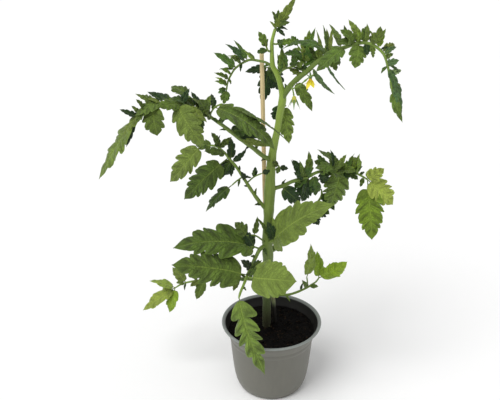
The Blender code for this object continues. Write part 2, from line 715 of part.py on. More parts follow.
def make_truss(material):
    """The flower stalks with a calyx over the flower and a closed bud."""
    shapes = []
    for stalk in TRUSS_STALKS:
        route = smooth_route(np.array(stalk, float) * MM, 2 * len(stalk) - 1)
        shapes.append(tube(route, [TRUSS_RADIUS * MM] * len(route), STALK_SIDES))
    truss = add_object("flower_truss", shapes[0], material)
    face_outwards(truss)
    calyx = pointed_ring(np.array(FLOWER_PLACE) + (0, 0, 2.0), SEPALS, 6.0, 2.2, 0.7, 20)
    sepals = pointed_ring(np.array(BUD_PLACE) + (0, 0, 1.5), SEPALS, 6.0, 2.0, -0.6, 50)
    bud = ball(np.array(BUD_PLACE) * MM, 0.0026, 0.0042)
    centre = np.array(FLOWER_PLACE) * MM
    seat = [centre + (0, 0, 0.0026), centre + (0, 0, SEAT_GAP)]
    receptacle = tube(seat, [0.0012, RECEPTACLE_RADIUS * MM], STALK_SIDES)
    apply_boolean(truss, "UNION", shapes[1:] + calyx + sepals + [bud, receptacle], "calyx")
    apply_boolean(truss, "DIFFERENCE", [carrier_tube("flower_truss")], "seat")
    tidy_mesh(truss)
    return truss


def ball(centre, radius, half_height):
    rows = 5
    route = []
    radii = []
    for k in range(rows):
        angle = math.pi * (k + 0.5) / rows
        route.append(centre + np.array((0, 0, half_height * math.cos(angle))))
        radii.append(radius * math.sin(angle))
    return tube(route, radii, STALK_SIDES)


def make_flower(material):
    """The yellow corolla: its petals turn back around a cone of stamens."""
    centre = np.array(FLOWER_PLACE) * MM
    cone = tube([centre, centre - (0, 0, 0.003), centre - (0, 0, 0.006)],
                [RECEPTACLE_RADIUS * MM, 0.0019, 0.0006], 8)
    flower = add_object("flower_corolla", cone, material)
    face_outwards(flower)
    petals = pointed_ring(np.array(FLOWER_PLACE) - (0, 0, 1.0), PETALS, PETAL_LENGTH, PETAL_WIDTH,
                          0.25, 17)
    apply_boolean(flower, "UNION", petals, "petals")
    tidy_mesh(flower)
    return flower


def build():
    remove_scene_objects()
    make_pot(make_material("pot_plastic", POT_GREY, 0.55))
    make_soil(make_material("potting_soil", SOIL_BROWN, 0.95))
    make_cane(make_material("cane_wood", CANE_TAN, 0.6))
    make_stem(make_material("stem_skin", STEM_GREEN, 0.55))
    for name, stalks in LEAVES.items():
        colour = DEEP_GREEN if "behind" in name else GREEN
        make_leaf(name, stalks, make_material(name + "_skin", colour, 0.55))
    make_truss(make_material("flower_stalk_skin", STEM_GREEN, 0.55))
    make_flower(make_material("petal_skin", PETAL_YELLOW, 0.5))


build()
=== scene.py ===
import math

import bpy
import numpy as np
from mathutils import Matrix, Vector


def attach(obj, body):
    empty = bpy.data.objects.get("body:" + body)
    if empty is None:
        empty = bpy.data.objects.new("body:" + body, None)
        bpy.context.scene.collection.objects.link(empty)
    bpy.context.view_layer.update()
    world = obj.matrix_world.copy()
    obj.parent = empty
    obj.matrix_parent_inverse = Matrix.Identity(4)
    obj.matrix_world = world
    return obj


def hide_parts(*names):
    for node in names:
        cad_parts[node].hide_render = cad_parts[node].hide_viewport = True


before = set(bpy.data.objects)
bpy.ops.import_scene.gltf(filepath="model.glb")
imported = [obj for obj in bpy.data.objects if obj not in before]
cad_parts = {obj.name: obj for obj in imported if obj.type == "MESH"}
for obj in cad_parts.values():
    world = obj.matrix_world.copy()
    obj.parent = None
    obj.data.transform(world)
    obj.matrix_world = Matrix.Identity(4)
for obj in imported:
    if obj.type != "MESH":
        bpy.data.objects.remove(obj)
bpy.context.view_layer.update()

mm = 0.001
fullTurn = 2 * np.pi
up = np.array((0, 0, 1.0))


# An sRGB hex colour as linear red, green and blue: c/12.92, or ((c+0.055)/1.055)^2.4.
def linearColour(hexText):
    values = np.array([int(hexText[k:k + 2], 16) for k in (0, 2, 4)]) / 255
    return np.where(values <= 0.04045, values / 12.92, ((values + 0.055) / 1.055) ** 2.4)


# A hex colour as the four linear numbers that a socket takes.
def rgba(hexText):
    return (*linearColour(hexText), 1.0)


# Hex or linear colours with a fourth number of 0, as every skin but a blade's has.
def plainTone(colours):
    if isinstance(colours, str):
        colours = linearColour(colours)
    return np.concatenate([colours, np.zeros(colours.shape[:-1] + (1,))], axis=-1)


# Arrays or numbers stretched to one shape, side by side in a new last axis.
def together(*values):
    return np.stack(np.broadcast_arrays(*values), axis=-1)


def unit(vectors):
    return vectors / np.linalg.norm(vectors, axis=-1, keepdims=True)


# The unit vector at a heading round Z and a pitch above the floor, in degrees.
def direction(heading, pitch):
    heading, pitch = math.radians(heading), math.radians(pitch)
    return np.array([math.cos(heading) * math.cos(pitch), math.sin(heading) * math.cos(pitch),
                     math.sin(pitch)])


# Leads sources to a node's sockets. A source is a socket, or a node for its first output.
def feed(tree, node, sources):
    for key, source in sources.items():
        tree.links.new(getattr(source, "outputs", [source])[0], node.inputs[key])


# One node. A setting is a property of the node or the value of a socket.
def addNode(tree, kind, settings={}, sources={}):
    node = tree.nodes.new("ShaderNode" + kind)
    for key, value in settings.items():
        if isinstance(key, str) and hasattr(node, key):
            setattr(node, key, value)
        else:
            node.inputs[key].default_value = value
    feed(tree, node, sources)
    return node


# The settings that turn one range of values into another.
def span(fromMin, fromMax, toMin, toMax, kind="LINEAR"):
    return {"interpolation_type": kind, "From Min": fromMin, "From Max": fromMax,
            "To Min": toMin, "To Max": toMax}


# A material with one Principled shader, its settings given by socket name.
def startMaterial(name, settings):
    material = bpy.data.materials.new(name)
    material.use_nodes = True
    shader = material.node_tree.nodes["Principled BSDF"]
    for key, value in settings.items():
        shader.inputs[key].default_value = value
    return material, material.node_tree, shader


# A finish whose colour is the skin's own times the share that each pattern gives. A
# pattern is noise on a map: the map's name, how many grains of noise it has each way to a
# metre or to a unit of the map, the noise's detail, and two values of noise with the two
# shares that they give, or None where it leaves the colour alone. The first pattern also
# makes the gloss, from two values again, and the last one makes bumps of a strength and a
# height in mm.
def grainedMaterial(name, settings, patterns, gloss=None, bumps=None):
    material, tree, shader = startMaterial(name, settings)
    maps = {"object": addNode(tree, "TexCoord").outputs["Object"],
            "skin": addNode(tree, "UVMap", {"uv_map": "veinMap"})}
    colour = addNode(tree, "Attribute", {"attribute_name": "skinTone"}).outputs["Color"]
    noises = []
    for mapName, repeats, detail, shares in patterns:
        placed = addNode(tree, "Mapping", {"Scale": repeats}, {"Vector": maps[mapName]})
        noises.append(addNode(tree, "TexNoise", {"Scale": 1.0, "Detail": detail},
                              {"Vector": placed}))
        if shares:
            amount = addNode(tree, "MapRange", span(*shares), {"Value": noises[-1]})
            colour = addNode(tree, "VectorMath", {"operation": "SCALE"},
                             {0: colour, "Scale": amount})
    sources = {"Base Color": colour}
    if gloss:
        sources["Roughness"] = addNode(tree, "MapRange", span(*gloss), {"Value": noises[0]})
    if bumps:
        sources["Normal"] = addNode(tree, "Bump", {
            "Strength": bumps[0], "Distance": bumps[1] * mm}, {"Height": noises[-1]})
    feed(tree, shader, sources)
    return material


# A closed skin from a (rows, columns) grid of points whose columns run all the way
# round. Each row is joined to the next by quads, and both ends get one cap.
def tubePart(points, tone, coordinates=(0.0, 0.0), material=0):
    rows, columns = points.shape[:2]
    index = np.arange(rows * columns).reshape(rows, columns)
    following = np.roll(index, -1, axis=1)
    quads = np.stack([index[:-1], following[:-1], following[1:], index[1:]], axis=-1)
    return {
        "points": points.reshape(-1, 3),
        "faces": quads.reshape(-1, 4).tolist() + [index[0][::-1].tolist(), index[-1].tolist()],
        "material": material,
        "tone": np.broadcast_to(tone, (rows, columns, 4)).reshape(-1, 4),
        "coordinates": np.broadcast_to(coordinates, (rows, columns, 2)).reshape(-1, 2),
    }


# Small closed lumps of one kind: (count, corners, 3) points, the faces of one of them, and
# a colour for each.
def lumpParts(points, faces, tones, material=0):
    count, corners = points.shape[:2]
    allFaces = np.array(faces)[None] + corners * np.arange(count)[:, None, None]
    return {"points": points.reshape(-1, 3), "faces": allFaces.reshape(-1, 3).tolist(),
            "material": material, "tone": np.repeat(plainTone(tones), corners, axis=0),
            "coordinates": np.zeros((count * corners, 2))}


# A tube skin with its map: turns round it against the length along it.
def mappedTube(points, tone, length, turns=1.0, material=0):
    angle = np.linspace(0, turns, points.shape[1], endpoint=False)
    return tubePart(points, tone, together(angle[None], length[:, None]), material)


# One mesh from all its parts. Attribute skinTone holds each point's colour, with the
# blade's half width in its fourth number, and UV map veinMap its place between veins.
def partsMesh(name, parts):
    starts = np.cumsum([0] + [len(part["points"]) for part in parts])
    faces, slots = [], []
    for part, start in zip(parts, starts):
        faces += [[corner + int(start) for corner in face] for face in part["faces"]]
        slots += [part["material"]] * len(part["faces"])
    points, tones, coordinates = (np.vstack([part[key] for part in parts])
                                  for key in ("points", "tone", "coordinates"))
    mesh = bpy.data.meshes.new(name)
    mesh.from_pydata(points.tolist(), [], faces)
    mesh.polygons.foreach_set("material_index", slots)
    mesh.attributes.new("skinTone", "FLOAT_COLOR", "POINT").data.foreach_set(
        "color", tones.astype(np.float32).ravel())
    corners = np.zeros(len(mesh.loops), np.int32)
    mesh.loops.foreach_get("vertex_index", corners)
    mesh.uv_layers.new(name="veinMap").data.foreach_set(
        "uv", coordinates[corners].astype(np.float32).ravel())
    return mesh


def addObject(name, data):
    item = bpy.data.objects.new(name, data)
    bpy.context.scene.collection.objects.link(item)
    return item


# The finer piece that is shown for a CAD node.
def makePiece(node, parts, materials, sharpAngle=55):
    mesh = partsMesh("fine_" + node, parts)
    for material in materials:
        mesh.materials.append(material)
    mesh.shade_smooth()
    mesh.set_sharp_from_angle(angle=math.radians(sharpAngle))
    mesh.validate()
    item = addObject("fine_" + node, mesh)
    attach(item, "root")
    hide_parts(node)
    return item


# How far along it each point of a route lies.
def lengthAlong(route):
    return np.r_[0, np.cumsum(np.linalg.norm(np.diff(route, axis=0), axis=1))]


# The point at a share of a route's own length.
def placeAlong(route, share):
    places = lengthAlong(route)
    return np.array([np.interp(share * places[-1], places, route[:, k]) for k in range(3)])


# Points evenly spaced on the Catmull-Rom curve through the given ones, whose value at
# t between b and c is half of 2b + (c-a)t + (2a-5b+4c-d)t^2 + (3b-a-3c+d)t^3.
def smoothRoute(points, count):
    points = np.asarray(points, float)
    padded = np.vstack([2 * points[0] - points[1], points, 2 * points[-1] - points[-2]])
    value = np.linspace(0, len(points) - 1, 12 * len(points))
    index = np.minimum(value.astype(int), len(points) - 2)
    t = (value - index)[:, None]
    a, b, c, d = (padded[index + k] for k in range(4))
    curve = 0.5 * (2 * b + (c - a) * t + (2 * a - 5 * b + 4 * c - d) * t ** 2
                   + (3 * b - a - 3 * c + d) * t ** 3)
    places = lengthAlong(curve[:, :3])
    even = np.linspace(0, places[-1], count)
    return np.stack([np.interp(even, places, curve[:, k]) for k in range(curve.shape[1])], axis=1)


# Two directions across a route at each point. The first is the direction that the
# route spreads in least, straightened to be square to the route.
def acrossRoute(route):
    tangent = unit(np.gradient(route, axis=0))
    flat = np.linalg.svd(route - route.mean(axis=0))[2][2]
    side = unit(flat - tangent * (tangent @ flat)[:, None])
    return side, np.cross(tangent, side)


# Rings round a route: radius times 1 + ridges*cos(ridgeCount*angle) at each angle.
def skinAround(route, radii, sides, ridges=0.0, ridgeCount=5):
    side, other = acrossRoute(route)
    angle = np.linspace(0, fullTurn, sides, endpoint=False)[None, :, None]
    swell = 1 + ridges * np.cos(ridgeCount * angle)
    ring = np.cos(angle) * side[:, None] + np.sin(angle) * other[:, None]
    return route[:, None] + np.asarray(radii)[:, None, None] * swell * ring


# Multipliers that close a tube's far end in a quarter circle: sqrt(1 - x^2).
def roundedEnd(count, share):
    x = np.clip((np.linspace(0, 1, count) - (1 - share)) / share, 0, 0.985)
    return np.sqrt(1 - x ** 2)


# Points of a turned form: (r*cos(angle), r*sin(angle), z) for each r and z.
def turned(profile, sides):
    angle = np.linspace(0, fullTurn, sides, endpoint=False)[None]
    radius, height = np.array(profile).T[:, :, None]
    return together(radius * np.cos(angle), radius * np.sin(angle), height)


hairRadius = 0.055 * mm


# Fine hairs on a stalk, each a three-sided cone of four faces: a random place on the
# skin, pointing outwards and a little along.
def hairParts(route, radii, count, length, hexText, rng, material=0):
    side, other = acrossRoute(route)
    place = rng.uniform(0.02, 0.97, count) * (len(route) - 1)
    low = place.astype(int)
    share = (place - low)[:, None]
    angle = rng.uniform(0, fullTurn, count)[:, None]
    middle = route[low] * (1 - share) + route[low + 1] * share
    radius = np.interp(place, np.arange(len(route)), radii)[:, None]
    out = unit(np.cos(angle) * side[low] + np.sin(angle) * other[low])
    along = unit(route[low + 1] - route[low])
    across = np.cross(out, along)
    root = middle + out * radius * 0.94
    tall = length * rng.uniform(0.6, 1.2, count)[:, None]
    lean = rng.uniform(-0.4, 0.4, count)[:, None]
    corners = [root + hairRadius * (np.cos(a) * along + np.sin(a) * across)
               for a in np.arange(3) * fullTurn / 3]
    points = np.stack(corners + [root + unit(out + lean * along) * tall], axis=1)
    colours = np.broadcast_to(linearColour(hexText), (count, 3))
    return lumpParts(points, [(0, 2, 1), (0, 1, 3), (1, 2, 3), (2, 0, 3)], colours, material)


leafStyle = {
    "facing": np.array([0, -0.85, 0.53]),  # the way that blades turn their upper faces
    "stalkSides": 14,
    "stalkGreens": ("60752c", "76903a"),
    "hairHex": "aebb85",
    "hairLength": 0.7 * mm,
    "hairsPerMm": 1.1,
    "bareShare": 0.1,  # of a leaflet's length, before its blade
    "bareRows": 4,
    "lastPlace": 0.98,  # where the end leaflet stands on its stalk
    "neckRadius": 0.65 * mm,
    "tipHalfWidth": 0.22 * mm,
    "thickness": 0.5 * mm,
    "ribRadius": 0.62 * mm,
    "grooveDepth": 0.22 * mm,
    "grooveWidth": 0.5 * mm,
    "lobePeak": 0.62,  # how far along a lobe its point is
    "lobeDepth": 0.25,  # of the half width, cut away between lobes
    "lobeSpread": 0.3,  # how uneven the lobes' lengths are
    "tipShare": 0.24,  # of the blade, beyond the last lobe
    "toothDepth": 0.08,
    "smallLength": 24 * mm,
    "fold": 16,  # degrees that each half is raised
    "smallFold": 30,
    "twist": 24,
    "sweepShare": 0.5,  # the most that a lobe reaches forwards
    "pucker": 0.13,  # how high the swellings between veins are
    "wrinkle": 0.75,  # how much of them is broken into small ones
    # the next two are painted shade in the creases and painted light on the swellings
    "creaseShadeTone": 0.32,  # the colour's share in a crease
    "swellLightTone": 1.75,  # what a full swelling adds to it
    "curl": 0.26,  # how far the margins bend down
    "wave": 0.15,  # how far they go up and down
    "toneSpread": 0.1,  # how much one blade's green differs from another's
    "smallSpread": 0.32,
}

# How each blade looks: age and place on the plant set its green
# dark is partly a deeper green and partly painted shade on blades that lie in shade; bright is a
# young green lifted by painted light; blue is a painted bluish sheen
leafTones = {
    "dark": "26411b", "deep": "425d20", "mid": "5a7029", "olive": "6d8235",
    "light": "758839", "lime": "7f9d2b", "bright": "98ad47", "fresh": "6b8425",
    "blue": "4d683c", "pale": "7d965f",
}

# How much lighter than its green each leaf's blades are: the young ones the most
leafGain = {
    "leaf_top_curl": 2.2, "shoot_top_centre": 2.5, "shoot_leader_side": 1.7,
    "leaf_leader_left": 1.6, "leaf_leader_right": 1.6, "leaf_apex": 1.3, "leaf_top_right": 1.5,
    "leaf_mid_right": 1.45, "leaf_upper_left": 1.2, "leaf_lower_right": 1.7,
    "leaf_mid_left": 1.15, "leaf_lower_left": 1.15, "leaf_behind_fork": 1.45,
    "leaf_behind_cane": 1.15, "leaf_centre_right": 1.3, "leaf_front": 1.15, "shoot_axil": 1.2}

# Every leaf: its stalks, the main one first, in mm. A stalk is its route, its radius at
# the foot and at the end, its leaflets and, where they differ from the rest, how deep its
# leaflets' lobes and relief are. A leaflet is its place along the stalk, length, width,
# heading, pitch, roll, droop and green, and can end with the share of it that is bare
# stalk and the depth of its lobes. Heading 0 points to +X and 270 to the front, the roll
# is about its midrib, and the droop is how far it arches. Angles are in degrees.
leaves = {
    "leaf_upper_left": [
        ([(-2, 0, 303), (-11, -7, 311), (-23, -13, 324), (-40, -21, 341), (-58, -30, 360),
          (-74, -37, 374), (-87, -43, 383), (-107, -50, 391), (-124, -56, 390), (-135, -59, 383),
          (-144, -61, 374)], (2.7, 0.9), [
            (1, 79, 28, 188, -58, 50, 14, "olive"), (0.86, 32, 26, 290, -66, 15, 30, "mid"),
            (0.91, 16, 8, 215, 54, 40, 20, "mid"), (0.85, 18, 12, 132, 14, -30, 30, "mid"),
            (0.77, 30, 14, 142, 5, 55, 30, "dark"), (0.73, 52, 30, 329, -52, 10, 36, "olive"),
            (0.5, 34, 15, 205, 50, 45, 40, "olive"), (0.53, 27, 18, 240, 58, 20, 30, "mid"),
            (0.27, 32, 9, 352, -12, 30, 20, "light"), (0.35, 27, 14, 18, 2, 20, 30, "deep")]),
        ([(-68, -34, 369), (-62, -37, 380), (-53, -40, 386)], (1, 0.9), [
            (0.55, 77, 31, 348, -33, -38, 50, "mid", 0.05),
            (0.9, 76, 11, 352, -27, -60, 30, "mid", 0.3, 0.12),
            (0.45, 20, 9, 100, 30, 20, 30, "dark")]),
        ([(-74, -37, 374), (-84, -31, 385), (-90, -26, 389)], (0.9, 0.8), [
            (0.98, 25, 17, 142, 10, 35, 40, "mid"), (0.7, 30, 15, 215, -8, 30, 30, "mid")])],
    "leaf_mid_left": [
        ([(-7, 0, 241), (-19, -6, 260), (-34, -3, 284), (-42, 3, 294), (-50, 9, 301),
          (-55, 13, 306), (-65, 19, 311), (-83, 28, 308)], (2.4, 0.9), [
            (1, 58, 30, 189, -49, 10, 30, "light"), (0.86, 26, 15, 147, -7, -20, 30, "mid"),
            (0.8, 21, 12, 203, 67, 35, 40, "mid"), (0.8, 21, 10, 348, 43, 25, 30, "mid"),
            (0.66, 69, 34, 197, -41, 15, 30, "mid", 0.17), (0.7, 27, 13, 204, 18, 30, 30, "mid"),
            (0.64, 29, 19, 119, -62, -15, 20, "dark"), (0.63, 26, 13, 92, 55, 30, 40, "dark"),
            (0.6, 24, 9, 350, 48, 30, 20, "dark"), (0.4, 18, 8, 248, 55, 20, 20, "dark")]),
        ([(-34, -3, 284), (-41, -2, 278), (-47, -2, 272)], (0.9, 0.8), [
            (0.98, 41, 21, 205, -40, 40, 24, "deep")]),
        ([(-29, -4, 277), (-21, -9, 287), (-12, -12, 293)], (0.9, 0.8), [
            (0.98, 11, 8, 340, 30, 10, 20, "dark"), (0.55, 11, 7, 80, 60, 10, 20, "dark")])],
    "leaf_mid_right": [
        ([(-3, 0, 267), (12, 2, 271), (21, 6, 274), (37, 13, 276), (49, 18, 280), (56, 21, 280),
          (75, 27, 279), (94, 32, 273), (103, 34, 268), (111, 35, 262)], (2.5, 1), [
            (0.7, 52, 32, 150, -77, -5, 16, "olive"), (0.38, 42, 21, 119, -69, 10, 20, "dark"),
            (0.37, 29, 12, 90, 72, 30, 30, "mid"), (0.36, 26, 12, 148, 39, 20, 30, "dark"),
            (0.69, 36, 17, 149, 31, 40, 50, "mid"), (0.68, 34, 20, 207, 16, 25, 40, "mid"),
            (0.54, 24, 14, 102, -62, 0, 20, "dark"), (0.75, 27, 20, 53, 16, 0, 30, "mid"),
            (0.86, 31, 11, 264, 66, 40, 30, "fresh"), (0.82, 23, 9, 257, 72, 30, 20, "fresh"),
            (0.99, 42, 31, 346, -42, -10, 30, "bright"),
            (0.96, 28, 19, 332, 40, 20, 30, "bright"),
            (0.98, 73, 36, 296, -76, 15, 20, "fresh", 0.15, 0.2),
            (0.93, 12, 7, 234, -59, 0, 20, "mid"), (0.1, 34, 20, 20, -48, 0, 30, "dark")])],
    "leaf_centre_right": [
        ([(-6, 0, 198), (-1, -7, 204), (6, -13, 211)], (2.4, 1.5), [
            (0.5, 94, 49, 342, 40, -20, 50, "olive", 0.02, 0.15),
            (0.66, 30, 14, 220, 70, 20, 30, "dark"),
            (0.5, 40, 8, 204, 62, 20, 20, "mid")], {"relief": 0.8})],
    "leaf_behind_centre": [
        ([(-5, 0, 184), (13, 12, 191), (34, 28, 211), (55, 40, 235), (57, 44, 247)], (2.4, 1), [
            (0.8, 20, 14, 328, -23, 0, 30, "deep"), (0.72, 20, 14, 314, -52, 0, 30, "dark"),
            (0.99, 24, 12, 197, 24, 30, 50, "light"), (0.96, 27, 13, 340, -52, 10, 30, "deep")])],
    "leaf_front": [
        ([(-6, 0, 196), (-14, -8, 194), (-18, -14, 189), (-21, -20, 185), (-26, -28, 176),
          (-29, -36, 173), (-31, -46, 172), (-35, -58, 167), (-37, -66, 163)], (2.5, 1.2), [
            (0.56, 90, 46, 194, 16, 12, 34, "mid"),
            (0.98, 97, 35, 325, -68, 18, 24, "olive", 0.04, 0.5),
            (0.45, 22, 13, 221, 49, 10, 30, "dark"), (0.47, 20, 9, 348, 47, 20, 30, "mid"),
            (0.58, 20, 10, 330, 54, 20, 30, "mid")]),
        ([(-29, -36, 173), (-22, -42, 176)], (1.1, 1), [
            (0.85, 55, 46, 338, 9, -10, 40, "olive", 0.04)], {"lobing": 0.1, "relief": 0.5}),
        ([(-14, -8, 194), (-21, -12, 199), (-27, -16, 203)], (1.1, 1), [
            (0.35, 96, 48, 191, 5, 30, 60, "mid", 0.06), (0.5, 30, 15, 200, 60, 20, 30, "dark")]),
        ([(-9, -5, 202), (-20, -10, 213), (-30, -18, 217)], (1, 0.8), [
            (0.98, 24, 17, 200, 55, 20, 30, "mid"), (0.6, 22, 9, 60, 70, 10, 30, "mid")])],
    "leaf_lower_left": [
        ([(-6, 1, 144), (-21, 6, 144), (-38, 12, 141), (-57, 18, 137), (-75, 24, 132),
          (-95, 29, 126), (-110, 32, 120), (-121, 33, 112)], (2.2, 0.9), [
            (0.99, 33, 16, 187, 21, 45, 30, "bright"), (0.99, 50, 22, 191, -35, 35, 20, "bright"),
            (0.98, 31, 18, 246, -59, 20, 20, "lime"), (0.85, 25, 15, 151, 40, 20, 30, "light"),
            (0.87, 15, 8, 230, 27, 20, 20, "light"), (0.7, 15, 9, 223, -9, 10, 20, "light"),
            (0.65, 26, 14, 224, -59, 10, 20, "mid"),
            (0.29, 16, 9, 240, -44, 10, 20, "light")], {"lobing": 0.12, "relief": 0.6})],
    "leaf_lower_right": [
        ([(-6, 2, 122), (9, 7, 122), (19, 12, 119), (30, 18, 119), (42, 25, 121), (48, 29, 123),
          (54, 32, 126), (58, 35, 131)], (2, 0.9), [
            (0.97, 34, 17, 104, 72, 35, 24, "lime"), (0.99, 44, 24, 346, 40, 35, 30, "lime"),
            (0.72, 20, 8, 234, 56, 20, 20, "mid"),
            (0.8, 12, 7, 318, 16, 20, 20, "mid")], {"lobing": 0.1, "relief": 0.6}),
        ([(43, 26, 121), (43, 27, 129), (42, 28, 135)], (0.9, 0.8), [
            (0.98, 43, 20, 62, 79, 42, 30, "light")], {"lobing": 0.1, "relief": 0.6})],
    "leaf_top_curl": [
        ([(1, 0, 409), (-8, 3, 415), (-15, 6, 416), (-25, 13, 415), (-31, 17, 412),
          (-37, 21, 407), (-43, 24, 401), (-47, 26, 394), (-51, 27, 385),
          (-53, 27, 373)], (1.5, 0.9), [
            (0.3, 20, 7, 220, 41, 30, 40, "mid"), (0.42, 26, 9, 156, 52, 30, 30, "deep"),
            (0.46, 32, 12, 206, 45, 30, 40, "dark"), (0.53, 20, 9, 225, 35, 20, 30, "mid"),
            (0.63, 31, 13, 197, 38, 25, 30, "deep"), (0.75, 18, 7, 221, 35, 30, 20, "mid"),
            (0.82, 19, 8, 204, 29, 20, 30, "mid"), (0.91, 17, 8, 211, 26, 20, 30, "mid"),
            (0.99, 16, 10, 255, -52, 0, 20, "mid"), (0.95, 14, 7, 151, -34, 0, 20, "deep")])],
    "leaf_behind_cane": [
        ([(2, 0, 406), (0, 8, 407), (-3, 24, 403), (-7, 38, 398)], (1.4, 1.1), [
            (0.98, 41, 19, 215, -78, 0, 20, "dark"), (0.94, 27, 11, 175, -14, 0, 30, "dark"),
            (0.8, 30, 20, 10, -66, 0, 20, "dark"), (0.94, 20, 12, 300, -40, 0, 20, "deep")])],
    "leaf_behind_fork": [
        ([(8, 0, 372), (10, 10, 366), (13, 16, 361)], (1.6, 1.1), [
            (0.5, 46, 21, 327, -79, 0, 20, "olive"), (0.75, 22, 18, 168, -56, 0, 20, "dark")])],
    "leaf_top_right": [
        ([(8, 0, 376), (18, -5, 394), (26, -9, 404), (33, -12, 411), (43, -17, 423),
          (50, -21, 430), (61, -27, 439), (73, -33, 446), (81, -36, 450), (88, -39, 452),
          (95, -42, 452), (102, -45, 449), (108, -47, 444), (111, -49, 438), (114, -50, 428),
          (117, -51, 416), (119, -52, 403)], (3.2, 0.9), [
            (0.54, 40, 20, 209, -31, 22, 34, "mid"), (0.51, 28, 13, 131, 49, 40, 30, "mid"),
            (0.54, 22, 9, 111, 72, 30, 30, "mid"), (0.57, 23, 13, 250, 59, 20, 40, "mid"),
            (0.6, 19, 8, 80, 44, 30, 20, "mid"), (0.61, 23, 11, 265, 59, 40, 30, "lime"),
            (0.64, 18, 13, 65, 52, 0, 30, "mid"), (0.68, 21, 10, 71, 15, 20, 30, "light"),
            (0.7, 24, 13, 303, 66, 30, 40, "mid"), (0.62, 26, 19, 252, -59, 0, 30, "mid"),
            (0.66, 13, 9, 278, -56, 10, 20, "dark"), (0.76, 17, 11, 37, 17, 0, 40, "light"),
            (0.83, 15, 9, 322, 26, 10, 40, "blue"), (0.88, 15, 8, 30, -1, 20, 30, "pale"),
            (0.99, 35, 11, 329, -66, 20, 20, "mid"), (0.91, 25, 12, 29, -55, 0, 20, "blue"),
            (0.29, 38, 9, 323, -38, 60, 40, "blue"), (0.39, 40, 9, 332, -51, 78, 20, "blue"),
            (0.42, 47, 17, 168, 3, 52, 95, "deep"), (0.43, 19, 12, 309, -53, 0, 20, "mid"),
            (0.15, 37, 15, 328, -54, -10, 20, "mid")])],
    "shoot_top_centre": [
        ([(29, -10, 408), (31, -2, 410), (32, 6, 417), (30, 10, 423),
          (24, 14, 431)], (1.4, 0.9), [
            (0.63, 27, 15, 211, 16, 30, 40, "deep"), (0.4, 30, 14, 7, 36, 20, 30, "deep"),
            (0.73, 26, 13, 25, 74, 30, 30, "mid"), (0.55, 35, 9, 40, 67, 20, 20, "deep"),
            (0.57, 23, 12, 309, 52, 20, 40, "deep"), (0.95, 17, 10, 236, -45, 10, 20, "mid"),
            (0.99, 13, 9, 145, 48, 0, 30, "deep")])],
    "shoot_leader_side": [
        ([(3, 0, 402), (9, -4, 410), (14, -6, 413), (23, -7, 416)], (1.2, 0.9), [
            (0.99, 12, 8, 322, 30, 20, 30, "mid"), (0.81, 18, 11, 288, 62, 20, 40, "deep"),
            (0.6, 12, 8, 216, 55, 20, 30, "mid")])],
    "leaf_apex": [
        ([(0.2, 0, 453.8), (1, 0, 456), (3, 0, 461)], (1.3, 0.9), [
            (0.05, 42, 12, 347, 59, 25, 24, "olive", 0.05), (0.9, 13, 7, 84, 70, 20, 20, "mid"),
            (0.7, 16, 7, 216, 66, 20, 20, "mid"), (0.85, 15, 8, 329, 12, 20, 20, "mid")])],
    "leaf_leader_left": [
        ([(-3, 0, 429), (-7, -4, 431), (-9, -5, 436)], (1.2, 0.9), [
            (0.98, 20, 12, 210, 62, 20, 24, "mid"), (0.7, 12, 8, 165, -23, 0, 20, "deep")])],
    "leaf_leader_right": [
        ([(-3, 0, 438), (1, -3, 438), (5, -4, 440)], (1.1, 0.9), [
            (0.98, 17, 9, 355, 12, 20, 30, "mid"), (0.75, 14, 8, 300, 30, 20, 20, "deep")])],
    "shoot_axil": [
        ([(-1, 0, 302), (4, -5, 300), (7, -7, 298)], (1.3, 0.9), [
            (0.98, 11, 8, 330, 5, 10, 20, "dark"), (0.85, 10, 8, 200, 40, 10, 20, "mid"),
            (0.9, 9, 7, 250, -40, 0, 20, "mid")])],
}

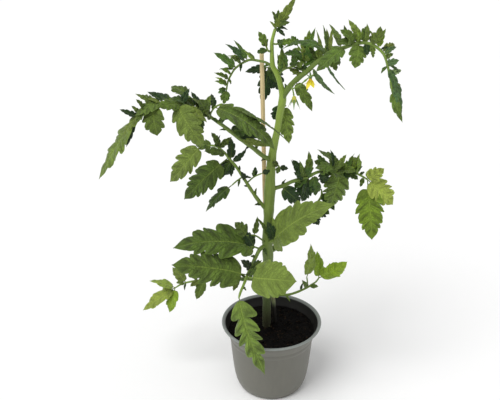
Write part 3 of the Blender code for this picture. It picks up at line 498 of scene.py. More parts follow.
# More leaflets on the main stalks: place, the tip from the foot as x, y, z, width, green
smallLeaflets = {
    "leaf_upper_left": [(0.8, -28, -12, -10, 18, "olive"), (0.7, -22, -16, 3, 16, "mid"),
        (0.66, 20, -14, -12, 11, "olive"), (0.58, -24, -12, -4, 15, "mid"),
        (0.6, 4, -14, -20, 14, "deep"), (0.5, -12, -10, 12, 14, "mid"),
        (0.44, 16, -8, 14, 13, "deep"), (0.88, -14, -8, -16, 12, "mid"),
        (0.86, -18, 4, 10, 7, "mid"), (0.8, -17, 5, 9, 8, "dark"), (0.82, -12, -3, 5, 8, "olive"),
        (0.66, -17, -4, 11, 13, "deep"), (0.62, -16, 3, 15, 12, "mid"),
        (0.57, -11, 4, 21, 11, "dark"), (0.56, 8, 2, 19, 11, "olive"),
        (0.73, -17, -5, -4, 9, "mid"), (0.6, 11, -4, 2, 10, "mid"), (0.5, 6, -4, -4, 6, "deep"),
        (0.7, 8, 6, 15, 9, "dark"), (0.94, -22, -6, -31, 13, "olive"),
        (0.97, -17, 0, 8, 8, "dark"), (0.95, -8, 3, 8, 6, "mid"), (1, -12, 4, -34, 8, "dark"),
        (0.35, 14, 8, 4, 9, "dark"), (0.33, 18, 8, 1, 8, "mid"), (0.3, 26, 10, -5, 9, "dark"),
        (0.28, 30, 6, -10, 6, "light")],
    "leaf_mid_left": [(0.8, 2, 3, 14, 6, "dark"), (0.62, -10, -3, -20, 10, "deep"),
        (0.6, -2, 4, -20, 7, "dark"), (0.42, 9, -4, 2, 5, "dark")],
    "leaf_mid_right": [(0.34, -4, -8, -22, 15, "dark"), (0.36, -14, -5, -12, 14, "deep"),
        (0.4, 6, 8, -30, 17, "deep"), (0.33, -12, -6, 10, 13, "dark"),
        (0.36, 4, -8, 16, 13, "deep"), (0.48, 14, -9, 8, 14, "mid"),
        (0.56, 18, -12, -2, 17, "mid"), (0.62, 12, -10, 14, 14, "mid"),
        (0.66, 20, -12, 4, 16, "mid"), (0.72, 16, -10, -6, 13, "deep"),
        (0.3, -12, 4, 22, 7, "dark"), (0.32, -5, -3, 24, 7, "mid"), (0.33, 7, 5, 20, 8, "mid"),
        (0.31, -10, -4, 10, 8, "deep"), (0.34, -6, 2, 14, 9, "deep"),
        (0.6, -20, 4, 10, 15, "mid"), (0.55, -10, 8, 17, 12, "deep"),
        (0.62, -4, 8, 22, 10, "dark"), (0.66, -4, -3, 18, 11, "mid"),
        (0.68, 7, 4, 18, 10, "olive"), (0.7, 11, -4, 15, 11, "deep"),
        (0.72, 13, 6, 10, 10, "mid"), (0.75, 8, 3, 21, 5, "fresh"), (0.8, 12, -3, 9, 9, "deep"),
        (0.78, 9, 5, 5, 7, "dark"), (0.84, 4, 2, 24, 9, "fresh"), (0.64, -12, -5, -5, 9, "blue"),
        (0.7, 8, -5, -9, 7, "dark")],
    "leaf_top_curl": [(0.33, -10, 2, 11, 4, "light"), (0.45, -19, -3, 7, 8, "olive"),
        (0.66, -17, 2, -1, 4, "mid"), (0.82, -16, -3, 8, 6, "light"),
        (0.9, -13, 3, 7, 6, "light"), (0.97, -9, -2, 1, 5, "deep"), (1, -6, 2, -13, 8, "mid"),
        (1, 2, -3, -11, 7, "deep")],
    "leaf_top_right": [(0.6, -16, 4, 13, 13, "mid"), (0.63, -13, 6, 22, 11, "olive"),
        (0.58, -16, -4, 4, 10, "mid"), (0.66, 0, 3, 19, 7, "light"),
        (0.69, -2, -3, 15, 6, "light"), (0.7, 6, 4, 10, 6, "olive"), (0.73, 7, 3, 19, 9, "lime"),
        (0.69, 2, -4, -13, 7, "olive"), (0.78, 12, 4, 7, 8, "blue"), (0.8, 7, -3, 6, 7, "mid"),
        (0.83, 14, 3, -10, 6, "blue"), (0.84, 9, -4, 4, 6, "pale"),
        (0.85, 11, -3, -25, 9, "blue"), (0.9, 13, 2, -28, 10, "blue"),
        (0.95, 12, -2, -32, 10, "blue"), (1, 9, 0, -30, 9, "mid"), (0.46, 7, 8, -18, 9, "mid"),
        (0.2, -14, 8, 6, 9, "olive"), (0.21, -10, 10, -3, 8, "olive"),
        (0.25, -14, 10, 0, 9, "mid"), (0.38, -7, 8, 27, 5, "light"), (0.42, -6, 4, 30, 8, "mid"),
        (0.42, -2, 8, 25, 8, "olive"), (0.44, 1, 3, 26, 6, "light"), (0.35, 1, 4, 22, 8, "olive"),
        (0.33, -8, 6, 15, 8, "mid")],
    "shoot_top_centre": [(0.5, -6, -3, 20, 9, "light"), (0.5, 8, 4, 15, 12, "mid"),
        (0.45, 7, -3, 21, 10, "olive"), (0.6, -1, 6, 11, 6, "dark"), (0.4, -13, 3, 9, 6, "mid"),
        (0.7, 17, 5, 12, 8, "deep"), (0.3, 16, 2, 10, 7, "deep")],
    "shoot_leader_side": [(0.3, 0, 5, 26, 10, "mid"), (0.5, 1, -4, 18, 9, "deep"),
        (0.2, -3, 6, 19, 7, "mid")],
    "leaf_leader_left": [(0.9, -3, -3, 9, 6, "light"), (0.5, -6, 2, -3, 7, "deep")],
    "leaf_leader_right": [(0.8, 17, 3, 3, 5, "mid"), (0.9, 3, -3, -7, 7, "deep"),
        (0.6, 7, 4, -2, 8, "mid")],
    "leaf_apex": [(0.3, 12, 2, -4, 7, "dark"), (0.1, 10, -3, -8, 7, "dark"),
        (0.5, 11, 3, 3, 7, "mid"), (0.05, -6, -2, 8, 4, "light"), (0.8, -6, 2, 11, 3, "light")],
    "leaf_behind_centre": [(0.7, 19, 3, -9, 14, "blue"), (0.6, 16, -2, -8, 10, "dark")],
    "leaf_front": [(0.4, 11, -6, 5, 12, "dark"), (0.45, 9, 3, -12, 12, "dark")],
}


# Lobes, rows to a lobe, points across and small teeth to a lobe, for a length.
def bladeDensity(length):
    for least, density in ((60, (5, 21, 29, 2)), (38, (4, 19, 23, 2)), (24, (3, 14, 17, 2)),
                           (13, (3, 8, 11, 1))):
        if length >= least * mm:
            return density
    return 2, 7, 9, 1


# Rounded swellings between sharp creases, 0 to 1: the size of a sum of sine waves that
# run in random directions, mostly along the blade.
def billow(phase, v, waves, rng):
    total = 0
    for _ in range(waves):
        turns = rng.uniform(0.6, 2.2) * phase + rng.uniform(-1.5, 1.5) * v
        total = total + np.sin(fullTurn * turns + rng.uniform(0, fullTurn))
    return np.minimum(np.abs(total) / math.sqrt(waves), 1) ** 0.6


# One leaflet. Half its width at u along it is width/2 * u^0.32 * (1-u)^1.15 over that
# curve's own peak, cut back between lobes and again between small teeth. A point at share
# a from midrib to margin lies a*half outwards and a^1.25*half/tan(vein angle) forwards,
# and is raised by a*sin(fold), lowered by curl*a^2.2, and puffed up between the side
# veins. The midrib is an arc that turns through the droop, with a slow twist. Arrays are
# (rows, 1) along the blade and (points,) round it.
def bladePart(base, leaflet, changes, gain, rng):
    style = leafStyle
    length, width, heading, pitch, roll, droop, green, *own = leaflet[1:]
    bare = own[0] if own else style["bareShare"]
    lobing = own[1] if len(own) > 1 else changes.get("lobing", style["lobeDepth"])
    relief = changes.get("relief", 1) * rng.uniform(0.75, 1.2)
    length, width = length * mm, width * mm
    roll, droop = math.radians(roll), math.radians(droop)
    along = direction(heading, pitch)
    normal = unit(style["facing"] - along * (style["facing"] @ along))
    normal = math.cos(roll) * normal + math.sin(roll) * np.cross(along, normal)
    side = np.cross(along, normal)
    small = length < style["smallLength"]
    fold = math.radians(style["smallFold" if small else "fold"])

    # lobes of uneven length; the last one's peak is where the plain pointed tip starts
    lobes, perLobe, across, teeth = bladeDensity(length)
    peakAt = style["lobePeak"]
    inLobe = np.interp(np.arange(perLobe), (0, round(peakAt * perLobe), perLobe), (0, peakAt, 1))
    lobeOf = np.r_[np.repeat(np.arange(lobes), perLobe), lobes - 1]
    tooth = np.r_[np.tile(inLobe, lobes), 1]
    phase = lobeOf + tooth
    lastPeak = lobes - 1 + peakAt
    lengths = 1 + style["lobeSpread"] * np.sin(2.4 * np.arange(1, lobes) + heading)
    starts = np.cumsum(np.r_[0, lengths, peakAt])
    starts *= (1 - style["tipShare"]) / starts[-1]
    u = np.interp(phase, np.r_[np.arange(lobes), lastPeak, lobes], np.r_[starts, 1])

    # each lobe is a hump that leans forwards, with sharp cuts between
    lean = math.log(0.5) / math.log(peakAt)
    peak = np.abs(np.sin(np.pi * tooth ** lean)) ** 0.7
    peak[phase > lastPeak] = 1
    saw = np.abs(np.sin(np.pi * teeth * tooth)) ** 0.7
    outline = u ** 0.32 * (1 - u) ** 1.15
    depth = lobing * (1.35 - 0.75 * u)
    vigour = rng.uniform(0.82, 1.12, (2, lobes))[:, lobeOf]
    cut = 1 - depth + depth * peak * vigour
    notch = 1 - style["toothDepth"] * (1 - saw) * (1 - 0.4 * u)
    half = (width / 2 * outline / outline.max() * cut * notch).T

    # the bare stalk comes before the blade
    bareRows = np.zeros(style["bareRows"])
    place = np.r_[np.linspace(0, 0.95, len(bareRows)) * bare, bare + (1 - bare) * u][:, None]
    u, phase = (np.r_[bareRows, values][:, None] for values in (u, phase))
    half = np.vstack([np.zeros((len(bareRows), 2)), half])
    neck = style["neckRadius"] * np.clip(1 - u * 3, 0, 1)
    half = np.maximum(np.maximum(half, neck), style["tipHalfWidth"])
    veinAngle = np.radians(62 - 20 * u + 44 * np.exp(-u / 0.07))
    sweep = np.minimum((half - neck).clip(0) / np.tan(veinAngle),
                       style["sweepShare"] * (1 - place) * length)

    # across the blade: the upper face from left to right, then the lower face back
    s = np.linspace(-1, 1, across)
    v = s * (0.62 + 0.38 * np.abs(s))
    v = np.r_[v, v[-2:0:-1]]
    upper = np.arange(len(v)) < across
    a = np.abs(v)
    margin = (v >= 0).astype(int)
    halfAt, sweepAt = half[:, margin], sweep[:, margin]

    # relief: valleys along each main side vein and, shallower, each one between
    fromMain = np.abs((phase - peakAt + 0.5) % 1 - 0.5) * 2
    fromNext = np.abs((phase - peakAt) % 1 - 0.5) * 2
    valleys = fromMain ** 0.8 * (0.45 + 0.55 * fromNext ** 0.8)
    turnA, turnB = rng.uniform(0, fullTurn, 2)
    swollen = billow(phase, v, 5, rng)
    ends = np.clip(u * 7, 0, 1) * np.clip((1 - u) * 4, 0, 1)
    envelope = 1.9 * a ** 0.6 * (1 - a) ** 0.5
    bulge = valleys * (1 - style["wrinkle"] + style["wrinkle"] * swollen)
    puff = relief * style["pucker"] * length / lobes * ends * envelope * bulge
    curl = style["curl"] + rng.uniform(-0.1, 0.14)
    ripple = style["wave"] * np.sin(np.pi * phase + turnB + np.where(margin, 0, 1.7))
    height = halfAt * (math.sin(fold) * a - curl * a ** 2.2 + ripple * a ** 2 * ends) + puff
    sway = 0.016 * length * np.sin(np.pi * place + 0.4 * math.sin(turnA)) * math.sin(turnA)

    bend = droop * (0.5 - place)
    radius = length / (2 * math.sin(droop / 2))
    middle = (base + radius * (math.sin(droop / 2) - np.sin(bend)) * along
              + radius * (np.cos(bend) - math.cos(droop / 2)) * normal + sway * ends * side)
    forward = np.cos(bend) * along + np.sin(bend) * normal
    upward = np.cross(side, forward)
    upward *= np.sign(upward @ normal)[:, None]
    twist = math.radians(style["twist"]) * rng.uniform(-1, 1) * place
    outward = np.cos(twist) * side + np.sin(twist) * upward
    upward = np.cos(twist) * upward - np.sin(twist) * side

    # thickness: a round leaf stalk that turns into a thin blade over a rib
    ribAt = np.minimum(style["ribRadius"] * (1 - 0.62 * u), 0.9 * halfAt)
    rib = np.sqrt(np.clip(1 - (a * halfAt / ribAt) ** 2, 0, 1)) * ribAt
    leafy = np.clip(u * 12, 0, 1)
    sheet = style["thickness"] / 2 * np.sqrt(1 - a ** 2)
    groove = style["grooveDepth"] * np.exp(-(a * halfAt / style["grooveWidth"]) ** 2)
    onTop = (1 - leafy) * rib + leafy * (sheet - groove * (1 - 0.6 * u))
    below = rib * (1 - 0.35 * leafy) + leafy * sheet
    lift = np.where(upper, onTop, -below)
    points = (middle[:, None] + (v * halfAt * math.cos(fold))[..., None] * outward[:, None]
              + (a ** 1.25 * sweepAt)[..., None] * forward[:, None]
              + (height + lift)[..., None] * upward[:, None])

    # painted light on the swellings, and painted shade in the creases between them
    crease = style["creaseShadeTone"] + style["swellLightTone"] * bulge
    crease = 1 + relief * (crease - 1) * np.minimum(envelope, 1) * ends
    spread = style["smallSpread" if small else "toneSpread"]
    green = linearColour(leafTones[green]) * gain * (1 + spread * rng.uniform(-1, 1))
    green = green * (rng.uniform(0.93, 1.07), 1, rng.uniform(0.9, 1.1))
    under = 0.55 * green + 0.45 * linearColour(leafTones["pale"])
    stalk = 0.5 * green + 0.5 * linearColour(leafTones["light"])
    share = np.clip(u * 9, 0, 1)[..., None]
    face = np.where(upper[:, None], green, under)
    colour = (stalk * (1 - share) + face * share) * crease[..., None]
    tone = np.concatenate([colour, halfAt[..., None] / (50 * mm)], axis=-1)
    # whole steps along the map leave the veins alone, and give each blade its own furrows
    return tubePart(points, tone, together(phase + rng.integers(0, 90), v))


# A leaf's stalk: a ring for each 2.2 mm of its route, wide at the foot as
# end + (start-end)*(1-x)^0.9, with three low ridges, rounded at the far end, and downy.
def stalkParts(route, radii, rng):
    count = max(12, int(lengthAlong(smoothRoute(route, 8))[-1] / 2.2))
    route = smoothRoute(route, count) * mm
    share = np.linspace(0, 1, count)
    radii = (radii[1] + (radii[0] - radii[1]) * (1 - share) ** 0.9) * mm
    swell = 1 + 0.05 * np.sin(np.arange(count) * 0.9 + rng.uniform(0, 6))
    points = skinAround(route, radii * swell * roundedEnd(count, 0.05),
                        leafStyle["stalkSides"], 0.07, 3)
    foot, tip = (linearColour(text) for text in leafStyle["stalkGreens"])
    tone = plainTone(foot * (1 - share)[:, None] + tip * share[:, None])[:, None]
    length = lengthAlong(route)
    hairs = max(12, int(length[-1] / mm * leafStyle["hairsPerMm"]))
    return route, [mappedTube(points, tone, length, material=1),
                   hairParts(route, radii, hairs, leafStyle["hairLength"],
                             leafStyle["hairHex"], rng, material=1)]


# A leaflet from (place, x, y, z, width, green), where x, y, z is its tip from its foot.
# It is rolled to face a little upwards.
def leafletTowards(small, rng):
    share, x, y, z, width, green = small
    length = math.sqrt(x * x + y * y + z * z)
    heading, pitch = math.degrees(math.atan2(y, x)), math.degrees(math.asin(z / length))
    roll = (-1 if x > 0 else 1) * rng.uniform(5, 40)
    return share, length, width, heading, pitch, roll, rng.uniform(24, 48), green


# Tiny leaflets between the others: one for each 16 mm of stalk, on alternate sides,
# 6 to 11 mm long, square to the stalk and a little forwards.
def tinyLeaflets(route, rng):
    count = int(lengthAlong(route)[-1] / (16 * mm))
    made = []
    for k in range(count):
        share = (k + rng.uniform(0.3, 0.9)) / (count + 0.5)
        row = min(int(share * len(route)), len(route) - 2)
        forward = unit(route[row + 1] - route[row])
        out = unit(np.cross(forward, leafStyle["facing"])) * (1 if k % 2 else -1)
        out = out + rng.uniform(-0.5, 0.5, 3) + 0.7 * forward
        tip = unit(out) * rng.uniform(6, 11)
        made.append((share, *tip, rng.uniform(3.5, 5.5), ("deep", "mid", "dark")[k % 3]))
    return made


# A whole leaf or shoot. The small leaflets stand on its first stalk, the tiny ones on all.
def makeLeaf(name, stalks, materials, seed):
    rng = np.random.default_rng(seed)
    parts, extra = [], smallLeaflets.get(name, [])
    for route, radii, leaflets, *changes in stalks:
        route, skins = stalkParts(route, radii, rng)
        parts += skins
        leaflets = leaflets + [leafletTowards(small, rng) for small in extra]
        leaflets += [leafletTowards(small, rng) for small in tinyLeaflets(route, rng)]
        for leaflet in leaflets:
            base = placeAlong(route, min(leaflet[0], leafStyle["lastPlace"]))
            parts.append(bladePart(base, leaflet, dict(*changes), leafGain.get(name, 1), rng))
        extra = []
    return makePiece(name, parts, materials)


# A living leaf: waxy, downy skin over spongy tissue. The eye gets a broad, soft gloss
# with a grey bloom from the down, pale sunken veins, and a crinkled skin with painted
# shade in its folds.
def leafBladeMaterial():
    material, tree, shader = startMaterial("leafBladeFresh", {
        "Roughness": 0.5, "IOR": 1.42, "Specular IOR Level": 0.3, "Sheen Weight": 0.22,
        "Sheen Roughness": 0.4, "Sheen Tint": rgba("e4ead8")})
    product = {"operation": "MULTIPLY"}
    tone = addNode(tree, "Attribute", {"attribute_name": "skinTone"})
    halfWidth = tone.outputs["Alpha"]
    place = addNode(tree, "TexCoord").outputs["Object"]
    veinMap = addNode(tree, "UVMap", {"uv_map": "veinMap"})
    alongBlade, fromMidrib, _ = addNode(tree, "SeparateXYZ", {}, {0: veinMap}).outputs
    fromRib = addNode(tree, "Math", {"operation": "ABSOLUTE"}, {0: fromMidrib})
    # the half width is in parts of 50 mm, so 0.005 there is a quarter of a millimetre
    ribWay = addNode(tree, "Math", product, {0: fromRib, 1: halfWidth})
    rib = addNode(tree, "MapRange", span(0.005, 0.018, 1, 0, "SMOOTHSTEP"), {"Value": ribWay})
    fromPeak = addNode(tree, "Math", {"operation": "SUBTRACT", 1: leafStyle["lobePeak"]},
                       {0: alongBlade})
    toVein = addNode(tree, "Math", {"operation": "PINGPONG", 1: 0.5}, {0: fromPeak})
    vein = addNode(tree, "MapRange", span(0.012, 0.055, 1, 0, "SMOOTHSTEP"), {"Value": toVein})
    fading = addNode(tree, "MapRange", span(0.05, 0.9, 0.3, 0), {"Value": fromRib})
    veinShare = addNode(tree, "Math", product, {0: vein, 1: fading})
    strongest = addNode(tree, "Math", {"operation": "MAXIMUM"}, {0: rib, 1: veinShare})
    # small blades have faint veins: the share grows with the half width
    breadth = addNode(tree, "MapRange", span(0.05, 0.38, 0.2, 1), {"Value": halfWidth})
    lines = addNode(tree, "Math", product, {0: strongest, 1: breadth})

    # the net of small veins: cells about 1.2 mm across, with painted shade along their sunken
    # edges
    net = addNode(tree, "TexVoronoi", {"feature": "DISTANCE_TO_EDGE", "Scale": 820.0,
                                       "Randomness": 0.9}, {"Vector": place})
    netDepth = addNode(tree, "MapRange", span(0, 0.3, 0, 1), {"Value": net})
    netShade = addNode(tree, "MapRange", span(0, 1, 0.86, 1.04), {"Value": netDepth})
    # patches of deeper and lighter green, about 15 mm across
    patches = addNode(tree, "TexNoise", {"Scale": 70.0, "Detail": 3.0}, {"Vector": place})
    patchShare = addNode(tree, "MapRange", span(0.3, 0.7, 0.82, 1.14), {"Value": patches})
    # swellings 3 to 4 mm across, five to a side vein and five to half the blade, with
    # sunken lines between them that are darkened with painted shade
    wander = addNode(tree, "TexNoise", {"Scale": 2.2, "Detail": 1.0}, {"Vector": veinMap})
    wandered = addNode(tree, "Mix", {"data_type": "VECTOR", 0: 0.22},
                       {4: veinMap, 5: wander.outputs["Color"]})
    swellMap = addNode(tree, "Mapping", {"Scale": (5.5, 4.6, 1.0)},
                       {"Vector": wandered.outputs[1]})
    swellings = addNode(tree, "TexVoronoi", {
        "voronoi_dimensions": "2D", "feature": "DISTANCE_TO_EDGE", "Scale": 1.0,
        "Randomness": 1.0}, {"Vector": swellMap})
    furrow = addNode(tree, "MapRange", span(0, 0.4, 0, 1, "SMOOTHSTEP"), {"Value": swellings})
    furrowShade = addNode(tree, "MapRange", span(0, 1, 0.86, 1.05), {"Value": furrow})

    # the painted shade of the furrows and of the net together
    foldShade = addNode(tree, "Math", product, {0: furrowShade, 1: netShade})
    share = addNode(tree, "Math", product, {0: patchShare, 1: foldShade})
    shaded = addNode(tree, "VectorMath", {"operation": "SCALE"}, {0: tone, "Scale": share})
    paler = addNode(tree, "Mix", {"data_type": "RGBA", 0: 0.3, 7: rgba("a9bb58")}, {6: tone})
    colour = addNode(tree, "Mix", {"data_type": "RGBA"},
                     {0: lines, 6: shaded, 7: paler.outputs[2]})
    # small veins pull the skin in by a tenth of a millimetre or so
    relief = addNode(tree, "Math", {"operation": "MULTIPLY_ADD", 1: 3.0},
                     {0: furrow, 2: netDepth})
    feed(tree, shader, {
        "Base Color": colour.outputs[2],
        "Normal": addNode(tree, "Bump", {"Strength": 0.7, "Distance": 0.25 * mm},
                          {"Height": relief}),
        "Roughness": addNode(tree, "MapRange", span(0.3, 0.7, 0.44, 0.6), {"Value": patches})})
    return material


# Green stem skin under fine down: soft gloss, faint long streaks about 0.7 mm wide and
# 15 mm long, and the feet of hairs as grains about 0.5 mm apart.
def stalkSkinMaterial():
    return grainedMaterial("stemSkinDowny", {
        "Roughness": 0.48, "IOR": 1.43, "Sheen Weight": 0.25, "Sheen Roughness": 0.5,
        "Sheen Tint": rgba("dfe8c0")}, [
            ("skin", (16, 70, 1), 4, (0.3, 0.7, 0.8, 1.18)),
            ("object", (1900, 1900, 1900), 1, None)], bumps=(0.4, 0.2))


stemStyle = {
    # x, y, z and radius
    "route": [
        (-6, 4, 70, 4.4), (-6, 4, 80, 4.6), (-6, 3, 98, 5.0), (-6, 2, 123, 4.8),
        (-6, 1, 150, 5.4), (-5, 0, 176, 6.0), (-6, 0, 203, 5.8), (-5, 0, 232, 5.5),
        (-4, 0, 262, 6.2), (-3, 0, 291, 5.2), (-1, 0, 313, 4.4), (4, 0, 341, 3.7),
        (6, 0, 357, 3.8), (9, 0, 378, 3.9), (6, 0, 394, 2.9), (2, 0, 406, 2.7),
        (-2, 0, 413, 2.6), (-3, 0, 428, 2.2), (-3, 0, 440, 1.9), (0, 0, 453, 1.6)],
    "rows": 220,
    "sides": 40,
    "ridges": 0.03,
    "nodeHeights": (123, 144, 184, 200, 241, 266, 302, 372, 404),
    "nodeSwell": 0.08,
    "nodeLength": 5.0,
    "unevenness": 0.09 * mm,
    "streakTurns": 2.4,
    # colours up the stem by height in mm: near black where it stands in the pot, which is painted
    # shade, and above the rim its own green, paler upwards
    "greensAndShade": ((70, "1b1911"), (86, "2b2a19"), (98, "363a20"), (114, "424f26"), (140, "4f622a"),
               (200, "657a30"), (270, "6f8432"), (350, "7f9739"), (420, "87a03c"),
               (455, "8aa544")),
    "hairs": 2600,
    "hairLength": 0.9 * mm,
    "hairHex": "b9c690",
}


# A colour for each height in metres, straight lines between those of the table.
def heightColours(heights, table):
    marks = np.array([mark for mark, _ in table]) * mm
    colours = np.array([linearColour(text) for _, text in table])
    return np.stack([np.interp(heights, marks, colours[:, k]) for k in range(3)], axis=-1)


# Rings on the stem's route. The radius grows at each node by nodeSwell*exp(-d^2), five
# low ridges run up it, 1 + ridges*cos(5*angle), and slow waves make it a little uneven.
def makeStem(materials):
    style = stemStyle
    path = smoothRoute(style["route"], style["rows"])
    route, radii = path[:, :3] * mm, path[:, 3] * mm
    away = (path[:, 2:3] - style["nodeHeights"]) / style["nodeLength"]
    radii = radii * (1 + style["nodeSwell"] * np.exp(-away ** 2).sum(axis=1))
    points = skinAround(route, radii, style["sides"], style["ridges"], 5)
    points += style["unevenness"] * np.sin(points[..., 2:] / (3.1 * mm) + points[..., :1] / mm)
    tone = plainTone(heightColours(points[..., 2], style["greensAndShade"]))
    skin = mappedTube(points, tone, lengthAlong(route), style["streakTurns"])
    hairs = hairParts(route, radii, style["hairs"], style["hairLength"], style["hairHex"],
                      np.random.default_rng(31))
    return makePiece("main_stem", [skin, hairs], materials)


caneStyle = {
    "route": [(5, 12, 70), (2, 12, 111), (-4, 13, 170), (-9, 14, 240), (-11, 14, 309),
              (-14, 14, 424)],
    "radius": 2.3 * mm,
    "squareness": 0.05,
    "unevenness": 0.02,
    "rows": 90,
    "sides": 32,
    "brokenEdge": 0.25 * mm,
    # colours up the cane by height in mm: the near-black foot up to 104 mm is painted shade, and
    # above it the wood pales upwards
    "woodsAndShade": ((70, "14110d"), (104, "1d1913"), (109, "8f9a70"), (128, "a68b5a"),
              (200, "c4ab78"), (320, "d8c08c"), (424, "e6d29f")),
}


# A split and planed cane: rings on its route, radius 1 + squareness*cos(4*angle), with a
# top sawn flat and its edge just broken.
def makeCane(materials):
    style = caneStyle
    route = smoothRoute(style["route"], style["rows"]) * mm
    radii = style["radius"] * (1 + style["unevenness"] * np.sin(np.arange(len(route)) * 0.35))
    top = route[-1] + np.outer((1, 1.04), (0, 0, style["brokenEdge"]))
    radii = np.r_[radii, radii[-1] * 0.93, radii[-1] * 0.05]
    points = skinAround(np.vstack([route, top]), radii, style["sides"], style["squareness"], 4)
    tone = plainTone(heightColours(points[..., 2], style["woodsAndShade"]))
    return makePiece("cane", [mappedTube(points, tone, points[:, 0, 2])], materials, 30)


# Split wood, planed and dry: dull, with straight fibres about 0.35 mm wide and 30 mm
# long, among broader pale and dark bands.
def caneMaterial():
    return grainedMaterial("caneSplitWood", {"Roughness": 0.62, "IOR": 1.5}, [
        ("object", (700, 700, 12), 2, (0.3, 0.7, 0.82, 1.1)),
        ("object", (2800, 2800, 34), 3, (0.3, 0.7, 0.86, 1.08))], bumps=(0.5, 0.12))


potStyle = {
    "rim": 60.0,
    "height": 90.4,
    "wall": 1.8,
    "floor": 2.4,
    "sides": 144,
    "holes": 4,
    "holeRadius": 3.5,
    "holeCircle": 24.0,
    # the outside from foot to rim, and the lip that rolls inwards: share of the rim's
    # radius, share of the height
    "outside": [(0.600, 0.0), (0.622, 0.006), (0.642, 0.020), (0.666, 0.045), (0.694, 0.085),
                (0.721, 0.135), (0.743, 0.200), (0.762, 0.280), (0.781, 0.390),
                (0.800, 0.520), (0.817, 0.640), (0.827, 0.730), (0.831, 0.744),
                (0.838, 0.752), (0.846, 0.775), (0.8495, 0.794), (0.849, 0.803),
                (0.8495, 0.811), (0.857, 0.820), (0.880, 0.850), (0.906, 0.885),
                (0.9285, 0.915), (0.940, 0.937), (0.9435, 0.954), (0.951, 0.9635),
                (0.970, 0.967), (0.986, 0.9705), (0.997, 0.978), (1.0, 0.986),
                (0.997, 0.994), (0.989, 0.9990), (0.979, 1.0)],
    "lip": [(0.968, 0.9985), (0.956, 0.9965), (0.945, 0.9915), (0.934, 0.984), (0.926, 0.975),
            (0.9195, 0.962)],
    # the inside's heights from top to foot, its widest, and the rings of the floor
    "inside": [0.94, 0.90, 0.84, 0.78, 0.74, 0.70, 0.6, 0.45, 0.3, 0.15, 0.08],
    "insideWidest": 0.915,
    "floorRings": (30, 20, 10, 0.01),
    # the rings at the rim that have the lip's painted highlight
    "lipHighlightRings": 10,
    "skinHex": "6a6960",
    "lipHighlightHex": "868b87",
    # the inside's colour is painted shade within the pot
    "insideShadeHex": "201f1c",
}


# Points of a turned form: (r*cos(angle), r*sin(angle), z) for each r and z.
def turned(profile, sides):
    angle = np.linspace(0, fullTurn, sides, endpoint=False)[None]
    radius, height = np.array(profile).T[:, :, None]
    return together(radius * np.cos(angle), radius * np.sin(angle), height)


# The pot's inside radius at a height, one wall in from its outside.
def innerRadius(height):
    shares = np.array(potStyle["outside"])
    return (np.interp(height, shares[:, 1] * potStyle["height"], shares[:, 0] * potStyle["rim"])
            - potStyle["wall"])


# One turned wall from the foot's centre up the outside, over the rim and down the
# inside to the centre, then drain holes cut through its floor.
def makePot(materials):
    style = potStyle
    floor, size = style["floor"], (style["rim"], style["height"])
    outside, lip = (np.array(style[key]) * size for key in ("outside", "lip"))
    heights = np.array(style["inside"]) * style["height"]
    inside = together(np.minimum(innerRadius(heights), style["insideWidest"] * style["rim"]),
                      heights)
    foot = [(innerRadius(floor + 1.2), floor + 1.2), (innerRadius(floor) - 1, floor)]
    rings = np.array(style["floorRings"])
    profile = np.vstack([together(rings[::-1], 0), outside, lip, inside, foot,
                         together(rings, floor)]) * mm
    # the lip's painted highlight begins on the last six rings of the outside
    plain = len(rings) + len(outside) - 6
    colours = [linearColour(style[key]) for key in ("skinHex", "lipHighlightHex", "insideShadeHex")]
    counts = (plain, style["lipHighlightRings"], len(profile) - plain - style["lipHighlightRings"])
    tone = plainTone(np.repeat(colours, counts, axis=0))[:, None]
    skin = mappedTube(turned(profile, style["sides"]), tone, profile[:, 1])
    pot = makePiece("pot", [skin], materials, 60)
    hole = np.array([(0.01, -2), (style["holeRadius"], -2), (style["holeRadius"], floor + 2),
                     (0.01, floor + 2)]) * mm
    for k in range(style["holes"]):
        place = direction(360 * (k + 0.5) / style["holes"], 0) * style["holeCircle"] * mm
        drill = tubePart(turned(hole, 32) + place, np.zeros(4))
        mesh = bpy.data.meshes.new("drill")
        mesh.from_pydata(drill["points"].tolist(), [], drill["faces"])
        cutter = addObject("drill", mesh)
        cut = pot.modifiers.new("drain", "BOOLEAN")
        cut.operation, cut.solver, cut.object = "DIFFERENCE", "EXACT", cutter
        graph = bpy.context.evaluated_depsgraph_get()
        cutMesh = bpy.data.meshes.new_from_object(pot.evaluated_get(graph))
        pot.modifiers.clear()
        pot.data = cutMesh
        bpy.data.objects.remove(cutter)
    # the cut's new points come out white and opaque, so they get the skin's colour
    cutTones = pot.data.attributes["skinTone"].data
    tones = np.zeros(len(cutTones) * 4, np.float32)
    cutTones.foreach_get("color", tones)
    tones = tones.reshape(-1, 4)
    tones[tones[:, 3] > 0.5] = plainTone(style["skinHex"])
    cutTones.foreach_set("color", tones.ravel())
    return pot


# Moulded polypropylene, grey, from reground stock: a satin skin with flow marks about
# 25 mm long upwards and 6 mm across, and an orange peel of bumps about 0.8 mm across.
def potMaterial():
    return grainedMaterial("potMouldedPlastic", {
        "Roughness": 0.42, "IOR": 1.49, "Specular IOR Level": 0.5}, [
            ("object", (160, 160, 36), 4, (0.3, 0.7, 0.93, 1.06)),
            ("object", (1250, 1250, 1250), 2, None)],
        gloss=(0.3, 0.7, 0.36, 0.52), bumps=(0.18, 0.1))


